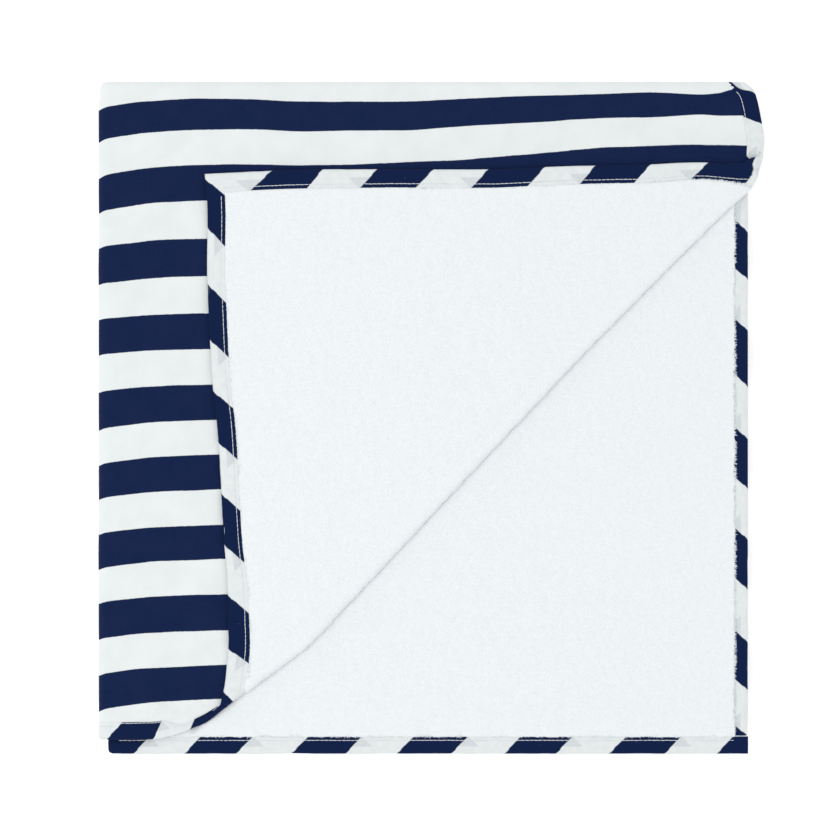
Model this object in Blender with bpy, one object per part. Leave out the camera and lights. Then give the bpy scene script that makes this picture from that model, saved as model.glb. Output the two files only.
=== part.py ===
"""Hooded baby towel, bought-new fold: a square two-layer towel (striped cotton outside, terry inside) with bias-bound
edges, folded top to bottom and then side to side, with the front corner turned back. A hood is sewn across one corner.

Metres, +Z up. The folded towel lies on the plane z = 0, centred on x = y = 0. The folded edges are at the left (-X) and
at the top (+Y). From the bottom up the four layers are: outer back (striped side down), inner back (striped side up),
inner front (striped side down), outer front (striped side up), and on it the turned corner (striped side down).

Every sheet is described by its striped face, which is its reference surface, and by the depth below that face:
striped cotton, then a gap, then terry. The edge binding wraps the compressed edge of both.
"""
import math

import bmesh
import bpy
from mathutils import Vector

MM = 0.001

# ---------------------------------------------------------------- cloth build-up (depth below the striped face)
SHELL_T = 0.8 * MM             # striped cotton with its seam slack
GAP = 0.3 * MM                 # clearance between sheets
PILE_T = 3.2 * MM              # terry, loops on both faces
PILE_D0 = SHELL_T + GAP        # where the terry starts
PILE_D1 = PILE_D0 + PILE_T
LAYER = PILE_D1 + GAP          # pitch of one full layer
BIND_W = 12.3 * MM             # finished width of the binding on each face
BIND_T = 0.5 * MM              # one leg of the folded bias strip
BIND_H = 3.9 * MM              # whole height of the bound edge
EDGE_IN = 1.2 * MM             # cloth edge stops this far inside the binding's fold
STEP = BIND_T + GAP            # how far the cotton dips to pass under the binding
TONGUE_D0 = STEP + SHELL_T + GAP
TONGUE_T = 1.2 * MM            # terry squeezed flat inside the binding
TONGUE_D1 = TONGUE_D0 + TONGUE_T
THREAD_R = 0.25 * MM
THREAD_E = BIND_W + GAP + THREAD_R      # from the bound edge to the stitch row
THREAD_D = TONGUE_D1 + GAP + THREAD_R   # depth of the stitch row

# ---------------------------------------------------------------- plan of the folded towel
LEFT = -236.8 * MM             # outer side fold
TOP = 238.0 * MM               # top folds
RIGHT_INNER = 224.7 * MM       # inner front layer's bound edge
RIGHT_OUTER = 236.8 * MM       # outer front layer stands a little past it
RIGHT_BACK = 221.5 * MM
BOTTOM_INNER = -238.0 * MM     # inner front layer
BOTTOM_OUTER = -228.6 * MM     # outer front layer ends a little short of it
BOTTOM_BACK_OUTER = -229.0 * MM
BOTTOM_BACK_INNER = -237.0 * MM

# ---------------------------------------------------------------- levels of the striped faces
Z_BACK_OUTER = 0.0
HOOD_ROOM = 3.1 * MM + GAP                                  # the hood's two layers lie between the back layers
Z_BACK_INNER = 2 * PILE_D1 + HOOD_ROOM + GAP                # striped face up
Z_FRONT_INNER = Z_BACK_INNER + GAP                          # striped face down
Z_FRONT_OUTER = Z_FRONT_INNER + 2 * PILE_D1 + GAP           # striped face up
Z_CORNER = Z_FRONT_OUTER + GAP                              # striped face down
Z_TOP = Z_CORNER + PILE_D1

# ---------------------------------------------------------------- folds
ROLL_BACK_R = (Z_BACK_INNER - Z_BACK_OUTER) / 2             # top fold of the back half
ROLL_FRONT_R = (Z_FRONT_OUTER - Z_FRONT_INNER) / 2          # top fold of the front half
SPINE_R = 2.3 * MM                                          # side fold rounds over with this radius
HINGE_X = LEFT + SPINE_R
HINGE_LOW_Z = SPINE_R
HINGE_HIGH_Z = Z_TOP - SPINE_R                              # so the opened front half lies on its turned corner
SHEET_LEFT = HINGE_X + 6.1 * MM                             # outer sheets start clear of the turning side fold
INNER_FOLD_X = -230.4 * MM                                  # inner side fold's outermost line
INNER_FOLD_R = PILE_D1 + GAP / 2
INNER_LEFT = INNER_FOLD_X + INNER_FOLD_R + GAP

# ---------------------------------------------------------------- turned corner
CREASE_ANGLE = math.radians(45.5)
CREASE = Vector((38.0 * MM, -28.75 * MM))                   # a point on the crease's outer line
U = Vector((math.cos(CREASE_ANGLE), math.sin(CREASE_ANGLE)))   # along the crease, up to the right
N = Vector((U.y, -U.x))                                     # away from the towel's middle, down to the right
TIP = Vector((-160.8 * MM, 173.2 * MM))                     # where the corner's tip lies when turned back
CREASE_Z = (Z_FRONT_OUTER + Z_CORNER) / 2
CLIP_X = 236.0 * MM

# ---------------------------------------------------------------- hood
HOOD_LEG = 245.0 * MM
HOOD_INSET = 14.4 * MM
HOOD_LINING_T = 2.0 * MM

COLLECTION = "hooded_baby_towel"
COLOURS = {
    "striped_cotton": ((0.30, 0.34, 0.44, 1.0), 0.85),
    "terry": ((0.86, 0.89, 0.91, 1.0), 0.95),
    "bias_binding": ((0.045, 0.065, 0.16, 1.0), 0.85),
    "thread": ((0.80, 0.82, 0.82, 1.0), 0.6),
}


# ================================================================ helpers
def clear_scene():
    for o in list(bpy.data.objects):
        bpy.data.objects.remove(o)
    for c in list(bpy.data.collections):
        bpy.data.collections.remove(c)


def material(name, kind):
    colour, rough = COLOURS[kind]
    m = bpy.data.materials.new(name)
    m.use_nodes = True
    b = m.node_tree.nodes["Principled BSDF"]
    b.inputs["Base Color"].default_value = colour
    b.inputs["Roughness"].default_value = rough
    b.inputs["Metallic"].default_value = 0.0
    return m


def place(name, data, kind, pivot):
    """An object whose parent is the pivot of its body; its data is in world space."""
    o = bpy.data.objects.new(name, data)
    bpy.data.collections[COLLECTION].objects.link(o)
    o.parent = pivot
    o.matrix_parent_inverse = pivot.matrix_world.inverted()
    data.materials.append(material(name, kind))
    return o


def pivot(name, at, parent=None):
    e = bpy.data.objects.new(name, None)
    bpy.data.collections[COLLECTION].objects.link(e)
    e.empty_display_size = 0.02
    e.location = at
    if parent is not None:
        e.parent = parent
        e.location = Vector(at) - parent.matrix_world.translation
    bpy.context.view_layer.update()
    return e


def loft(name, sections, kind, body):
    """A solid that starts as one flat face and is extruded from section to section."""
    bm = bmesh.new()
    face = bm.faces.new([bm.verts.new(p) for p in sections[0]])
    ring = list(face.verts)
    for i, section in enumerate(sections[1:]):
        made = bmesh.ops.extrude_face_region(bm, geom=[face])["geom"]
        fresh = {tuple(g.co): g for g in made if isinstance(g, bmesh.types.BMVert)}
        if i and face.is_valid:
            bm.faces.remove(face)  # only the first face stays, as the near cap
        face = next(g for g in made if isinstance(g, bmesh.types.BMFace))
        ring = [fresh[tuple(v.co)] for v in ring]
        for v, p in zip(ring, section):
            v.co = p
    bmesh.ops.recalc_face_normals(bm, faces=bm.faces)
    if bm.calc_volume(signed=True) < 0:
        bmesh.ops.reverse_faces(bm, faces=bm.faces)
    mesh = bpy.data.meshes.new(name)
    bm.to_mesh(mesh)
    bm.free()
    return place(name, mesh, kind, body)


def thread(name, points, body):
    """One stitch row, laid as a running thread."""
    curve = bpy.data.curves.new(name, "CURVE")
    curve.dimensions = "3D"
    curve.bevel_depth = THREAD_R
    curve.bevel_resolution = 2
    curve.use_fill_caps = True
    s = curve.splines.new("POLY")
    s.points.add(len(points) - 1)
    for p, co in zip(s.points, points):
        p.co = (*co, 1.0)
    return place(name, curve, "thread", body)


class Station:
    """One line across a folded sheet: a point of its striped face in the YZ plane, the way into the cloth, and its two ends in X."""

    def __init__(self, y, z, ny, nz, xl, xr, bound=True, hem=False):
        self.y, self.z, self.ny, self.nz = y, z, ny, nz
        self.xl, self.xr, self.bound, self.hem = xl, xr, bound, hem

    def at(self, x, depth):
        return Vector((x, self.y + self.ny * depth, self.z + self.nz * depth))


def roll(centre_y, centre_z, r, ends, steps=8):
    """Stations round a top fold, from its lower side over to its upper side. ends is ((xl, xr) at the start, (xl, xr) at the end)."""
    out = []
    for i in range(steps + 1):
        t = i / steps
        a = -math.pi / 2 + math.pi * t
        xl = ends[0][0] + (ends[1][0] - ends[0][0]) * t
        xr = ends[0][1] + (ends[1][1] - ends[0][1]) * t
        out.append(Station(centre_y + r * math.cos(a), centre_z + r * math.sin(a), -math.cos(a), -math.sin(a), xl, xr))
    return out


def sheet_sections(stations, main, edge, e_main, e_edge):
    """Cross-sections of one cloth: (top depth, bottom depth) in the field and inside the binding, stepping between e_main and e_edge from the bound edge."""
    out = []
    for s in stations:
        m = edge if s.hem else main
        r = edge if (s.bound or s.hem) else main
        end = s.xr - EDGE_IN if s.bound else s.xr
        xs = [s.xl, s.xr - e_main, s.xr - e_edge, end]
        ds = [m, m, r, r]
        ring = [s.at(x, d[0]) for x, d in zip(xs, ds)]
        ring += [s.at(x, d[1]) for x, d in reversed(list(zip(xs, ds)))]
        out.append(ring)
    return out


def u_profile(width=BIND_W, height=BIND_H, t=BIND_T):
    """The folded strip's cross-section as (distance from the bound edge, depth), rounded at its fold."""
    r = 1.2 * MM
    outer = [(width, 0.0)]
    for i in range(4):
        a = math.pi / 2 * i / 3
        outer.append((r - r * math.sin(a), r - r * math.cos(a)))
    for i in range(4):
        a = math.pi / 2 * i / 3
        outer.append((r - r * math.cos(a), height - r + r * math.sin(a)))
    outer.append((width, height))
    inner = [(width, height - t), (r, height - t), (t, height - r), (t, r), (r, t), (width, t)]
    return outer + inner


def strip(name, a, b, inward, z, up, body, width=BIND_W, height=BIND_H):
    """A straight bound edge from a to b in plan. inward points into the cloth, z is the striped face, up is +1 where the cloth lies above it."""
    sections = []
    for p in (a, b):
        sections.append([Vector((p.x + inward.x * e, p.y + inward.y * e, z + up * d)) for e, d in u_profile(width, height)])
    return loft(name, sections, "bias_binding", body)


def row(name, a, b, inward, z, up, body):
    pts = [Vector((p.x + inward.x * THREAD_E, p.y + inward.y * THREAD_E, z + up * THREAD_D)) for p in (a, b)]
    return thread(name, pts, body)


# field and edge depths of both cloths, and where each steps down beside the binding
SHELL = dict(main=(0.0, SHELL_T), edge=(STEP, STEP + SHELL_T), e_main=BIND_W + 1.1 * MM, e_edge=BIND_W + 0.3 * MM)
PILE = dict(main=(PILE_D0, PILE_D1), edge=(TONGUE_D0, TONGUE_D1), e_main=BIND_W + 1.8 * MM, e_edge=BIND_W + 1.0 * MM)


def hem_ys(bottom, cloth):
    """Y of the stations beside a bottom edge: cloth edge, end of the squeezed part, start of the full field."""
    return bottom + EDGE_IN, bottom + cloth["e_edge"], bottom + cloth["e_main"]


def crease_x(y):
    """X of the crease's outer line at that Y."""
    return CREASE.x + (y - CREASE.y) * N.y / -N.x


# ================================================================ back half: the lowest two layers
def back_stations(cloth):
    y0, y1, y2 = hem_ys(BOTTOM_BACK_OUTER, cloth)
    low = [Station(y, Z_BACK_OUTER, 0, 1, SHEET_LEFT, RIGHT_BACK, hem=h) for y, h in ((y0, True), (y1, True), (y2, False))]
    over = roll(TOP - ROLL_BACK_R, Z_BACK_OUTER + ROLL_BACK_R, ROLL_BACK_R, ((SHEET_LEFT, RIGHT_BACK), (INNER_LEFT, RIGHT_BACK)))
    y0, y1, y2 = hem_ys(BOTTOM_BACK_INNER, cloth)
    high = [Station(y, Z_BACK_INNER, 0, -1, INNER_LEFT, RIGHT_BACK, hem=h) for y, h in ((y2, False), (y1, True), (y0, True))]
    return low + over + high


def side_binding(name, stations, body):
    """The strip along a right-hand edge, carried round the top fold."""
    prof = u_profile()
    return loft(name, [[s.at(s.xr - e, d) for e, d in prof] for s in stations], "bias_binding", body)


def side_row(name, stations, body):
    return thread(name, [s.at(s.xr - THREAD_E, THREAD_D) for s in stations], body)


def build_back(body):
    loft("back_shell", sheet_sections(back_stations(SHELL), **SHELL), "striped_cotton", body)
    loft("back_lining", sheet_sections(back_stations(PILE), **PILE), "terry", body)
    over = roll(TOP - ROLL_BACK_R, Z_BACK_OUTER + ROLL_BACK_R, ROLL_BACK_R, ((0, RIGHT_BACK), (0, RIGHT_BACK)))
    past = BIND_W + GAP
    run = [Station(BOTTOM_BACK_OUTER + past, Z_BACK_OUTER, 0, 1, 0, RIGHT_BACK)] + over
    run += [Station(BOTTOM_BACK_INNER + past, Z_BACK_INNER, 0, -1, 0, RIGHT_BACK)]
    side_binding("back_side_binding", run, body)
    run = [Station(BOTTOM_BACK_OUTER + 16 * MM, Z_BACK_OUTER, 0, 1, 0, RIGHT_BACK)] + over
    run += [Station(BOTTOM_BACK_INNER + 16 * MM, Z_BACK_INNER, 0, -1, 0, RIGHT_BACK)]
    side_row("back_side_stitching", run, body)
    up = Vector((0, 1))
    a, b = Vector((SHEET_LEFT, BOTTOM_BACK_OUTER)), Vector((RIGHT_BACK, BOTTOM_BACK_OUTER))
    strip("back_outer_hem_binding", a, b, up, Z_BACK_OUTER, 1, body)
    row("back_outer_hem_stitching", a, b - Vector((14 * MM, 0)), up, Z_BACK_OUTER, 1, body)
    a, b = Vector((INNER_LEFT, BOTTOM_BACK_INNER)), Vector((RIGHT_BACK, BOTTOM_BACK_INNER))
    strip("back_inner_hem_binding", a, b, up, Z_BACK_INNER, -1, body)
    row("back_inner_hem_stitching", a, b - Vector((14 * MM, 0)), up, Z_BACK_INNER, -1, body)


def build_inner_fold(name, start, end, bottom, body):
    """Half of the terry that rounds the inner side fold, between two angles about the fold's own line."""
    cx, cz = INNER_FOLD_X + INNER_FOLD_R, (Z_BACK_INNER + Z_FRONT_INNER) / 2
    steps = 5
    angles = [math.radians(start + (end - start) * i / steps) for i in range(steps + 1)]
    ring = [(INNER_FOLD_R, a) for a in angles] + [(INNER_FOLD_R - PILE_T, a) for a in reversed(angles)]
    sections = [[Vector((cx + r * math.cos(a), y, cz + r * math.sin(a))) for r, a in ring] for y in (bottom + EDGE_IN, TOP - 7 * MM)]
    loft(name, sections, "terry", body)


def build_hood(body):
    """A two-layer triangle across the back corner, open along its bound long edge, with its legs caught in the towel's binding."""
    corner = Vector((RIGHT_BACK - HOOD_INSET, BOTTOM_BACK_OUTER + HOOD_INSET))
    a, b = corner + Vector((-HOOD_LEG, 0)), corner + Vector((0, HOOD_LEG))
    along = (b - a).normalized()
    inward = Vector((along.y, -along.x))
    height = (corner - a).dot(inward)
    z0 = PILE_D1 + GAP
    levels = {
        "hood_lining": ((z0, z0 + HOOD_LINING_T), (z0 + 0.8 * MM, z0 + 1.4 * MM), "terry"),
        "hood_shell": ((z0 + HOOD_LINING_T + GAP, z0 + HOOD_LINING_T + GAP + SHELL_T), (z0 + 1.7 * MM, z0 + 2.3 * MM), "striped_cotton"),
    }
    for name, (main, edge, kind) in levels.items():
        sections = []
        for h, (low, high) in ((EDGE_IN, edge), (BIND_W + 1.0 * MM, edge), (BIND_W + 1.8 * MM, main), (height - 1.0 * MM, main)):
            p, q = a + (along + inward) * h, b - (along - inward) * h
            sections.append([Vector((*p, low)), Vector((*q, low)), Vector((*q, high)), Vector((*p, high))])
        loft(name, sections, kind, body)
    p, q = a + along * BIND_W, b - along * BIND_W
    strip("hood_binding", p, q, inward, z0, 1, body, height=3.1 * MM)
    z = z0 + 2.3 * MM + GAP + 0.2 * MM
    row_points = [Vector((*(e + inward * THREAD_E), z)) for e in (p, q)]
    thread("hood_stitching", row_points, body)


# ================================================================ side fold: the cloth that rounds the left edge
def build_side_fold(body):
    height = Z_FRONT_OUTER

    def c_profile(o):
        """The fold's cross-section as (depth, z): straight, with rounded upper and lower ends; o is how far it dips."""
        out, inn = [], []
        for i in range(5):
            a = math.pi / 2 * i / 4
            out.append((SPINE_R - (SPINE_R - o) * math.sin(a), SPINE_R - (SPINE_R - o) * math.cos(a)))
            inn.append((SPINE_R - (SPINE_R - o - SHELL_T) * math.sin(a), SPINE_R - (SPINE_R - o - SHELL_T) * math.cos(a)))
        out += [(d, height - z) for d, z in reversed(out)]
        inn += [(d, height - z) for d, z in reversed(inn)]
        return out + inn[::-1]

    r = 4.0 * MM
    path = [(Vector((LEFT, BOTTOM_OUTER + e)), Vector((1, 0)), o) for e, o in
            ((EDGE_IN, STEP), (BIND_W + 0.3 * MM, STEP), (BIND_W + 1.1 * MM, 0.0))]
    for i in range(7):
        a = math.pi - math.pi / 2 * i / 6
        out = Vector((math.cos(a), math.sin(a)))
        path.append((Vector((LEFT + r, TOP - r)) + out * r, -out, 0.0))
    path.append((Vector((LEFT + 7.3 * MM, TOP)), Vector((0, -1)), 0.0))
    sections = [[Vector((*(p + n * d), z)) for d, z in c_profile(o)] for p, n, o in path]
    loft("side_fold_shell", sections, "striped_cotton", body)

    sections = []
    slices = [(BOTTOM_OUTER + EDGE_IN, (TONGUE_D0, TONGUE_D1), 1.9 * MM), (BOTTOM_OUTER + PILE["e_edge"], (TONGUE_D0, TONGUE_D1), 1.9 * MM),
              (BOTTOM_OUTER + PILE["e_main"], (PILE_D0, PILE_D1), 1.1 * MM)]
    for rise in (0.0, 0.4, 0.7, 0.93):  # its upper end rounds off inside the cotton's corner
        lift = (r - PILE_D0) * rise
        slices.append((TOP - r + lift, (r - math.sqrt((r - PILE_D0) ** 2 - lift ** 2), PILE_D1), 1.1 * MM))
    for y, (d0, d1), inset in slices:
        # the ends narrow towards the inside, to stay inside the cotton's rounded ends
        sections.append([Vector((LEFT + d, y, z)) for d, z in
                         ((d0, SPINE_R), (d1, inset), (d1, height - inset), (d0, height - SPINE_R))])
    loft("side_fold_lining", sections, "terry", body)

    sections = [[Vector((LEFT + d, BOTTOM_OUTER + e, z)) for e, d in u_profile()] for z in (SPINE_R + GAP, height - SPINE_R - GAP)]
    loft("side_fold_binding", sections, "bias_binding", body)
    thread("side_fold_stitching", [Vector((LEFT + THREAD_D, BOTTOM_OUTER + THREAD_E, z)) for z in (SPINE_R + GAP, height - SPINE_R - GAP)], body)


# ================================================================ front half: the two upper layers
def front_right_edge():
    """(y, x, bound) down the outer front layer's right edge, from the top fold to the crease."""
    return [(215 * MM, 233.6 * MM, True), (203 * MM, 236.2 * MM, True), (195 * MM, RIGHT_OUTER, True),
            (188 * MM, 236.4 * MM, True), (186 * MM, CLIP_X, False)]


def front_stations(cloth):
    y0, y1, y2 = hem_ys(BOTTOM_INNER, cloth)
    low = [Station(y, Z_FRONT_INNER, 0, 1, INNER_LEFT, RIGHT_INNER, hem=h) for y, h in ((y0, True), (y1, True), (y2, False))]
    over = roll(TOP - ROLL_FRONT_R, Z_FRONT_INNER + ROLL_FRONT_R, ROLL_FRONT_R, ((INNER_LEFT, RIGHT_INNER), (SHEET_LEFT, 228.5 * MM)))
    high = [Station(y, Z_FRONT_OUTER, 0, -1, SHEET_LEFT, x, bound=b) for y, x, b in front_right_edge()]
    y_clip = CREASE.y + (CLIP_X - CREASE.x) * -N.x / N.y
    y0, y1, y2 = hem_ys(BOTTOM_OUTER, cloth)
    high.append(Station(y_clip, Z_FRONT_OUTER, 0, -1, SHEET_LEFT, CLIP_X, bound=False))
    high += [Station(y, Z_FRONT_OUTER, 0, -1, SHEET_LEFT, crease_x(y), bound=False, hem=h) for y, h in ((y2, False), (y1, True), (y0, True))]
    return low + over + high


def build_front(body):
    loft("front_shell", sheet_sections(front_stations(SHELL), **SHELL), "striped_cotton", body)
    loft("front_lining", sheet_sections(front_stations(PILE), **PILE), "terry", body)
    over = roll(TOP - ROLL_FRONT_R, Z_FRONT_INNER + ROLL_FRONT_R, ROLL_FRONT_R, ((0, RIGHT_INNER), (0, 228.5 * MM)))
    down = [Station(y, Z_FRONT_OUTER, 0, -1, 0, x) for y, x, b in front_right_edge() if b]
    past = BIND_W + GAP
    side_binding("front_side_binding", [Station(BOTTOM_INNER + past, Z_FRONT_INNER, 0, 1, 0, RIGHT_INNER)] + over + down, body)
    side_row("front_side_stitching", [Station(BOTTOM_INNER + 16 * MM, Z_FRONT_INNER, 0, 1, 0, RIGHT_INNER)] + over + down, body)
    up = Vector((0, 1))
    a, b = Vector((INNER_LEFT, BOTTOM_INNER)), Vector((RIGHT_INNER, BOTTOM_INNER))
    strip("front_inner_hem_binding", a, b, up, Z_FRONT_INNER, 1, body)
    row("front_inner_hem_stitching", a, b - Vector((14 * MM, 0)), up, Z_FRONT_INNER, 1, body)
    a = Vector((SHEET_LEFT, BOTTOM_OUTER))
    b = Vector((crease_x(BOTTOM_OUTER) - 8 * MM, BOTTOM_OUTER))
    strip("front_outer_hem_binding", a, b, up, Z_FRONT_OUTER, -1, body)
    row("front_outer_hem_stitching", a, b, up, Z_FRONT_OUTER, -1, body)


# ================================================================ the corner that is turned back
def build_corner(body):
    # across runs along the corner's upper edge and down along its left edge: the mirror images, in the crease, of the
    # front layer's right and bottom edges
    across = (U * (2 * U.y) - Vector((0, 1))).normalized()
    down = (Vector((1, 0)) - U * (2 * U.x)).normalized()
    reach = (CREASE - TIP).dot(N)

    def crease_a(b):
        """How far the sheet runs across, b below its upper edge: to the crease, or to where the side edge pulls in."""
        to_crease = (reach - b * down.dot(N)) / across.dot(N)
        to_side = (CLIP_X - TIP.x - b * down.x) / across.x
        return min(to_crease, to_side)

    b_clip = next(b for b in (i * 0.05 * MM for i in range(1, 1000)) if (TIP + across * crease_a(b) + down * b).x < CLIP_X - 1e-7)
    b_end = (reach - 15 * MM * across.dot(N)) / down.dot(N)

    def sheet(name, cloth, kind):
        sections = []
        for b, hem in ((EDGE_IN, True), (b_clip, True), (cloth["e_edge"], True), (cloth["e_main"], False), (b_end, False)):
            m = cloth["edge"] if hem else cloth["main"]
            columns = [(EDGE_IN, cloth["edge"]), (cloth["e_edge"], cloth["edge"]), (cloth["e_main"], m), (crease_a(b), m)]
            ring = [Vector((*(TIP + across * a + down * b), Z_CORNER + d[0])) for a, d in columns]
            ring += [Vector((*(TIP + across * a + down * b), Z_CORNER + d[1])) for a, d in reversed(columns)]
            sections.append(ring)
        loft(name, sections, kind, body)

    sheet("corner_shell", SHELL, "striped_cotton")
    sheet("corner_lining", PILE, "terry")
    # the upper strip is cut off along the crease, so that it clears the outer front layer when the corner is let down
    prof = u_profile()
    loft("corner_upper_binding", [[Vector((*(TIP + across * a + down * e), Z_CORNER + d)) for (e, d), a in zip(prof, ends)]
                                  for ends in ([0.0] * len(prof), [crease_a(e) - 0.8 * MM for e, d in prof])], "bias_binding", body)
    row("corner_upper_stitching", TIP + across * 14 * MM, TIP + across * (crease_a(THREAD_E) - 1.5 * MM), down, Z_CORNER, 1, body)
    start, end = TIP + down * (BIND_W + GAP), TIP + down * (b_end - 1 * MM)
    strip("corner_left_binding", start, end, across, Z_CORNER, 1, body)
    row("corner_left_stitching", start + down * 3 * MM, end, across, Z_CORNER, 1, body)


def main():
    clear_scene()
    bpy.context.scene.collection.children.link(bpy.data.collections.new(COLLECTION))
    back = pivot("back_half_origin", (0, 0, 0))
    fold = pivot("side_fold_axis", (HINGE_X, 0, HINGE_LOW_Z), back)
    front = pivot("front_half_axis", (HINGE_X, 0, HINGE_HIGH_Z), fold)
    crease = CREASE + N * (GAP / 2)
    corner = pivot("corner_axis", (crease.x, crease.y, CREASE_Z), front)
    build_back(back)
    build_inner_fold("back_inner_fold_lining", 182, 268, BOTTOM_BACK_INNER, back)
    build_hood(back)
    build_side_fold(fold)
    build_front(front)
    build_inner_fold("front_inner_fold_lining", 178, 92, BOTTOM_INNER, front)
    build_corner(corner)


main()
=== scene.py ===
"""Looks of the hooded baby towel: every cloth is a map from its flat cut (x across, q along) and a depth below its
striped face to a place on the folded towel. Cloth, binding, stitches and pile all go through the same map, in mm."""
import math

import bpy
import numpy as np
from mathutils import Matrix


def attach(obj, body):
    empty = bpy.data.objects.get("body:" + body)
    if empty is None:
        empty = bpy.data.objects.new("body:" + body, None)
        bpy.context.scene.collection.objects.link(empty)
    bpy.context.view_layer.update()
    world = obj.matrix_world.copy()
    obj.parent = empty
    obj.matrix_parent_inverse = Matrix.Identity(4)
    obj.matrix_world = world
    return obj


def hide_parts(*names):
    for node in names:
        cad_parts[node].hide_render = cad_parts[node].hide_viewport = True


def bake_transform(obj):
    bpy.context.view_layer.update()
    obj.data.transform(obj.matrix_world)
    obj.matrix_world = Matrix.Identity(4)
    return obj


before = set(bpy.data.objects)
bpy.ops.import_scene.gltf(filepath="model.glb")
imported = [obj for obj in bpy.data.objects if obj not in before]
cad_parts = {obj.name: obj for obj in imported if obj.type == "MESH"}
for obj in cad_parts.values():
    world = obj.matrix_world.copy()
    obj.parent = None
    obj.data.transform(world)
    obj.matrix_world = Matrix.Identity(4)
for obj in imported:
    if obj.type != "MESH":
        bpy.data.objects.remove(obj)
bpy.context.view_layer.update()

PI = math.pi
STEP = 1.5      # spacing of the fine grids

# ------------------------------------------------------------------ the fold, in mm
Z_L4, Z_L3, Z_L2, Z_L1, Z_CORNER = 0.0, 12.3, 12.6, 21.5, 21.8
Y_ROLL, R_ROLL = 233.55, 4.45          # top fold of the front half
Q_L2 = Y_ROLL + PI * R_ROLL            # where the inner front layer starts
Q_FRONT_END = Q_L2 + Y_ROLL + 238.0
Y_BACK, R_BACK = 231.85, 6.15          # top fold of the back half
Q_L3 = Y_BACK + PI * R_BACK
Q_BACK_END = Q_L3 + Y_BACK + 237.0
PLUMP = 0.9                            # the top fold bulges a little
LEFT = -236.8
JOIN = -222.0                          # outer sheets meet the side fold's pieces here
INNER_LEFT = -225.65
RIGHT_BACK, RIGHT_L2 = 221.5, 224.7
BIND_W = 12.3
PERIOD = 74.5                          # of the bias stripe, along the edge

# ------------------------------------------------------------------ crease of the turned corner
CX, CY = 38.0, -28.75
UX, UY = math.cos(math.radians(45.5)), math.sin(math.radians(45.5))
NX, NY = UY, -UX
R_FOLD = 4.45
Z_FOLD = 21.65
ARC = PI * 2.15
# how far the roll's outline stands off the crease's straight line, along it
CREASE_LINE = [(-330, -12), (-256, -8), (-233.5, -4.5), (-205, 0.2), (-177.8, 3.2), (-135, 2.5), (-57, 0.6), (20, -1.2), (113, -2.8),
               (204, -2.2), (240, -1.7), (267, -0.2), (272, -0.7), (277.7, -2.1), (284.4, -6.0), (292.3, -10.5), (299.4, -16.0), (310, -24)]


def smooth(t):
    t = np.clip(t, 0, 1)
    return t * t * (3 - 2 * t)


def curve(points):
    """A smooth curve through the points, as a function."""
    xs = np.array([p[0] for p in points], float)
    ys = np.array([p[1] for p in points], float)
    d = np.diff(ys) / np.diff(xs)
    m = np.concatenate([[d[0]], (d[1:] + d[:-1]) / 2, [d[-1]]])
    m[1:-1] = np.where(d[1:] * d[:-1] <= 0, 0, np.sign(d[1:]) * np.minimum(abs(m[1:-1]), 3 * np.minimum(abs(d[1:]), abs(d[:-1]))))

    def f(x):
        x = np.asarray(x, float)
        i = np.clip(np.searchsorted(xs, x) - 1, 0, len(xs) - 2)
        h = xs[i + 1] - xs[i]
        t = (x - xs[i]) / h
        tc = np.clip(t, 0, 1)
        v = ((2 * tc ** 3 - 3 * tc ** 2 + 1) * ys[i] + (tc ** 3 - 2 * tc ** 2 + tc) * h * m[i]
             + (-2 * tc ** 3 + 3 * tc ** 2) * ys[i + 1] + (tc ** 3 - tc ** 2) * h * m[i + 1])
        return v + (t - tc) * h * np.where(t < 0, m[0], m[-1])
    return f


crease_n = curve(CREASE_LINE)


def fold_start(u):
    return crease_n(u) + 0.4 - R_FOLD


def to_un(x, y):
    return (x - CX) * UX + (y - CY) * UY, (x - CX) * NX + (y - CY) * NY


def from_un(u, n):
    return CX + u * UX + n * NX, CY + u * UY + n * NY


def unfold(x, y):
    """Flat place of a point of the turned corner."""
    u, n = to_un(np.asarray(x, float), np.asarray(y, float))
    return from_un(u, 2 * fold_start(u) + ARC - n)


def noise(x, y, scale, seed=0):
    """Smooth noise from -1 to 1."""
    x, y = np.asarray(x, float) / scale, np.asarray(y, float) / scale
    xi, yi = np.floor(x).astype(np.int64), np.floor(y).astype(np.int64)
    fx, fy = x - xi, y - yi
    fx, fy = fx * fx * fx * (fx * (fx * 6 - 15) + 10), fy * fy * fy * (fy * (fy * 6 - 15) + 10)

    def h(a, b):
        n = (a * 374761393 + b * 668265263 + seed * 1013904223) & 0xFFFFFFFF
        n = ((n ^ (n >> 13)) * 1274126177) & 0xFFFFFFFF
        return (n ^ (n >> 16)) / 4294967295.0 * 2 - 1
    a = h(xi, yi) * (1 - fx) + h(xi + 1, yi) * fx
    b = h(xi, yi + 1) * (1 - fx) + h(xi + 1, yi + 1) * fx
    return a * (1 - fy) + b * fy


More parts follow.
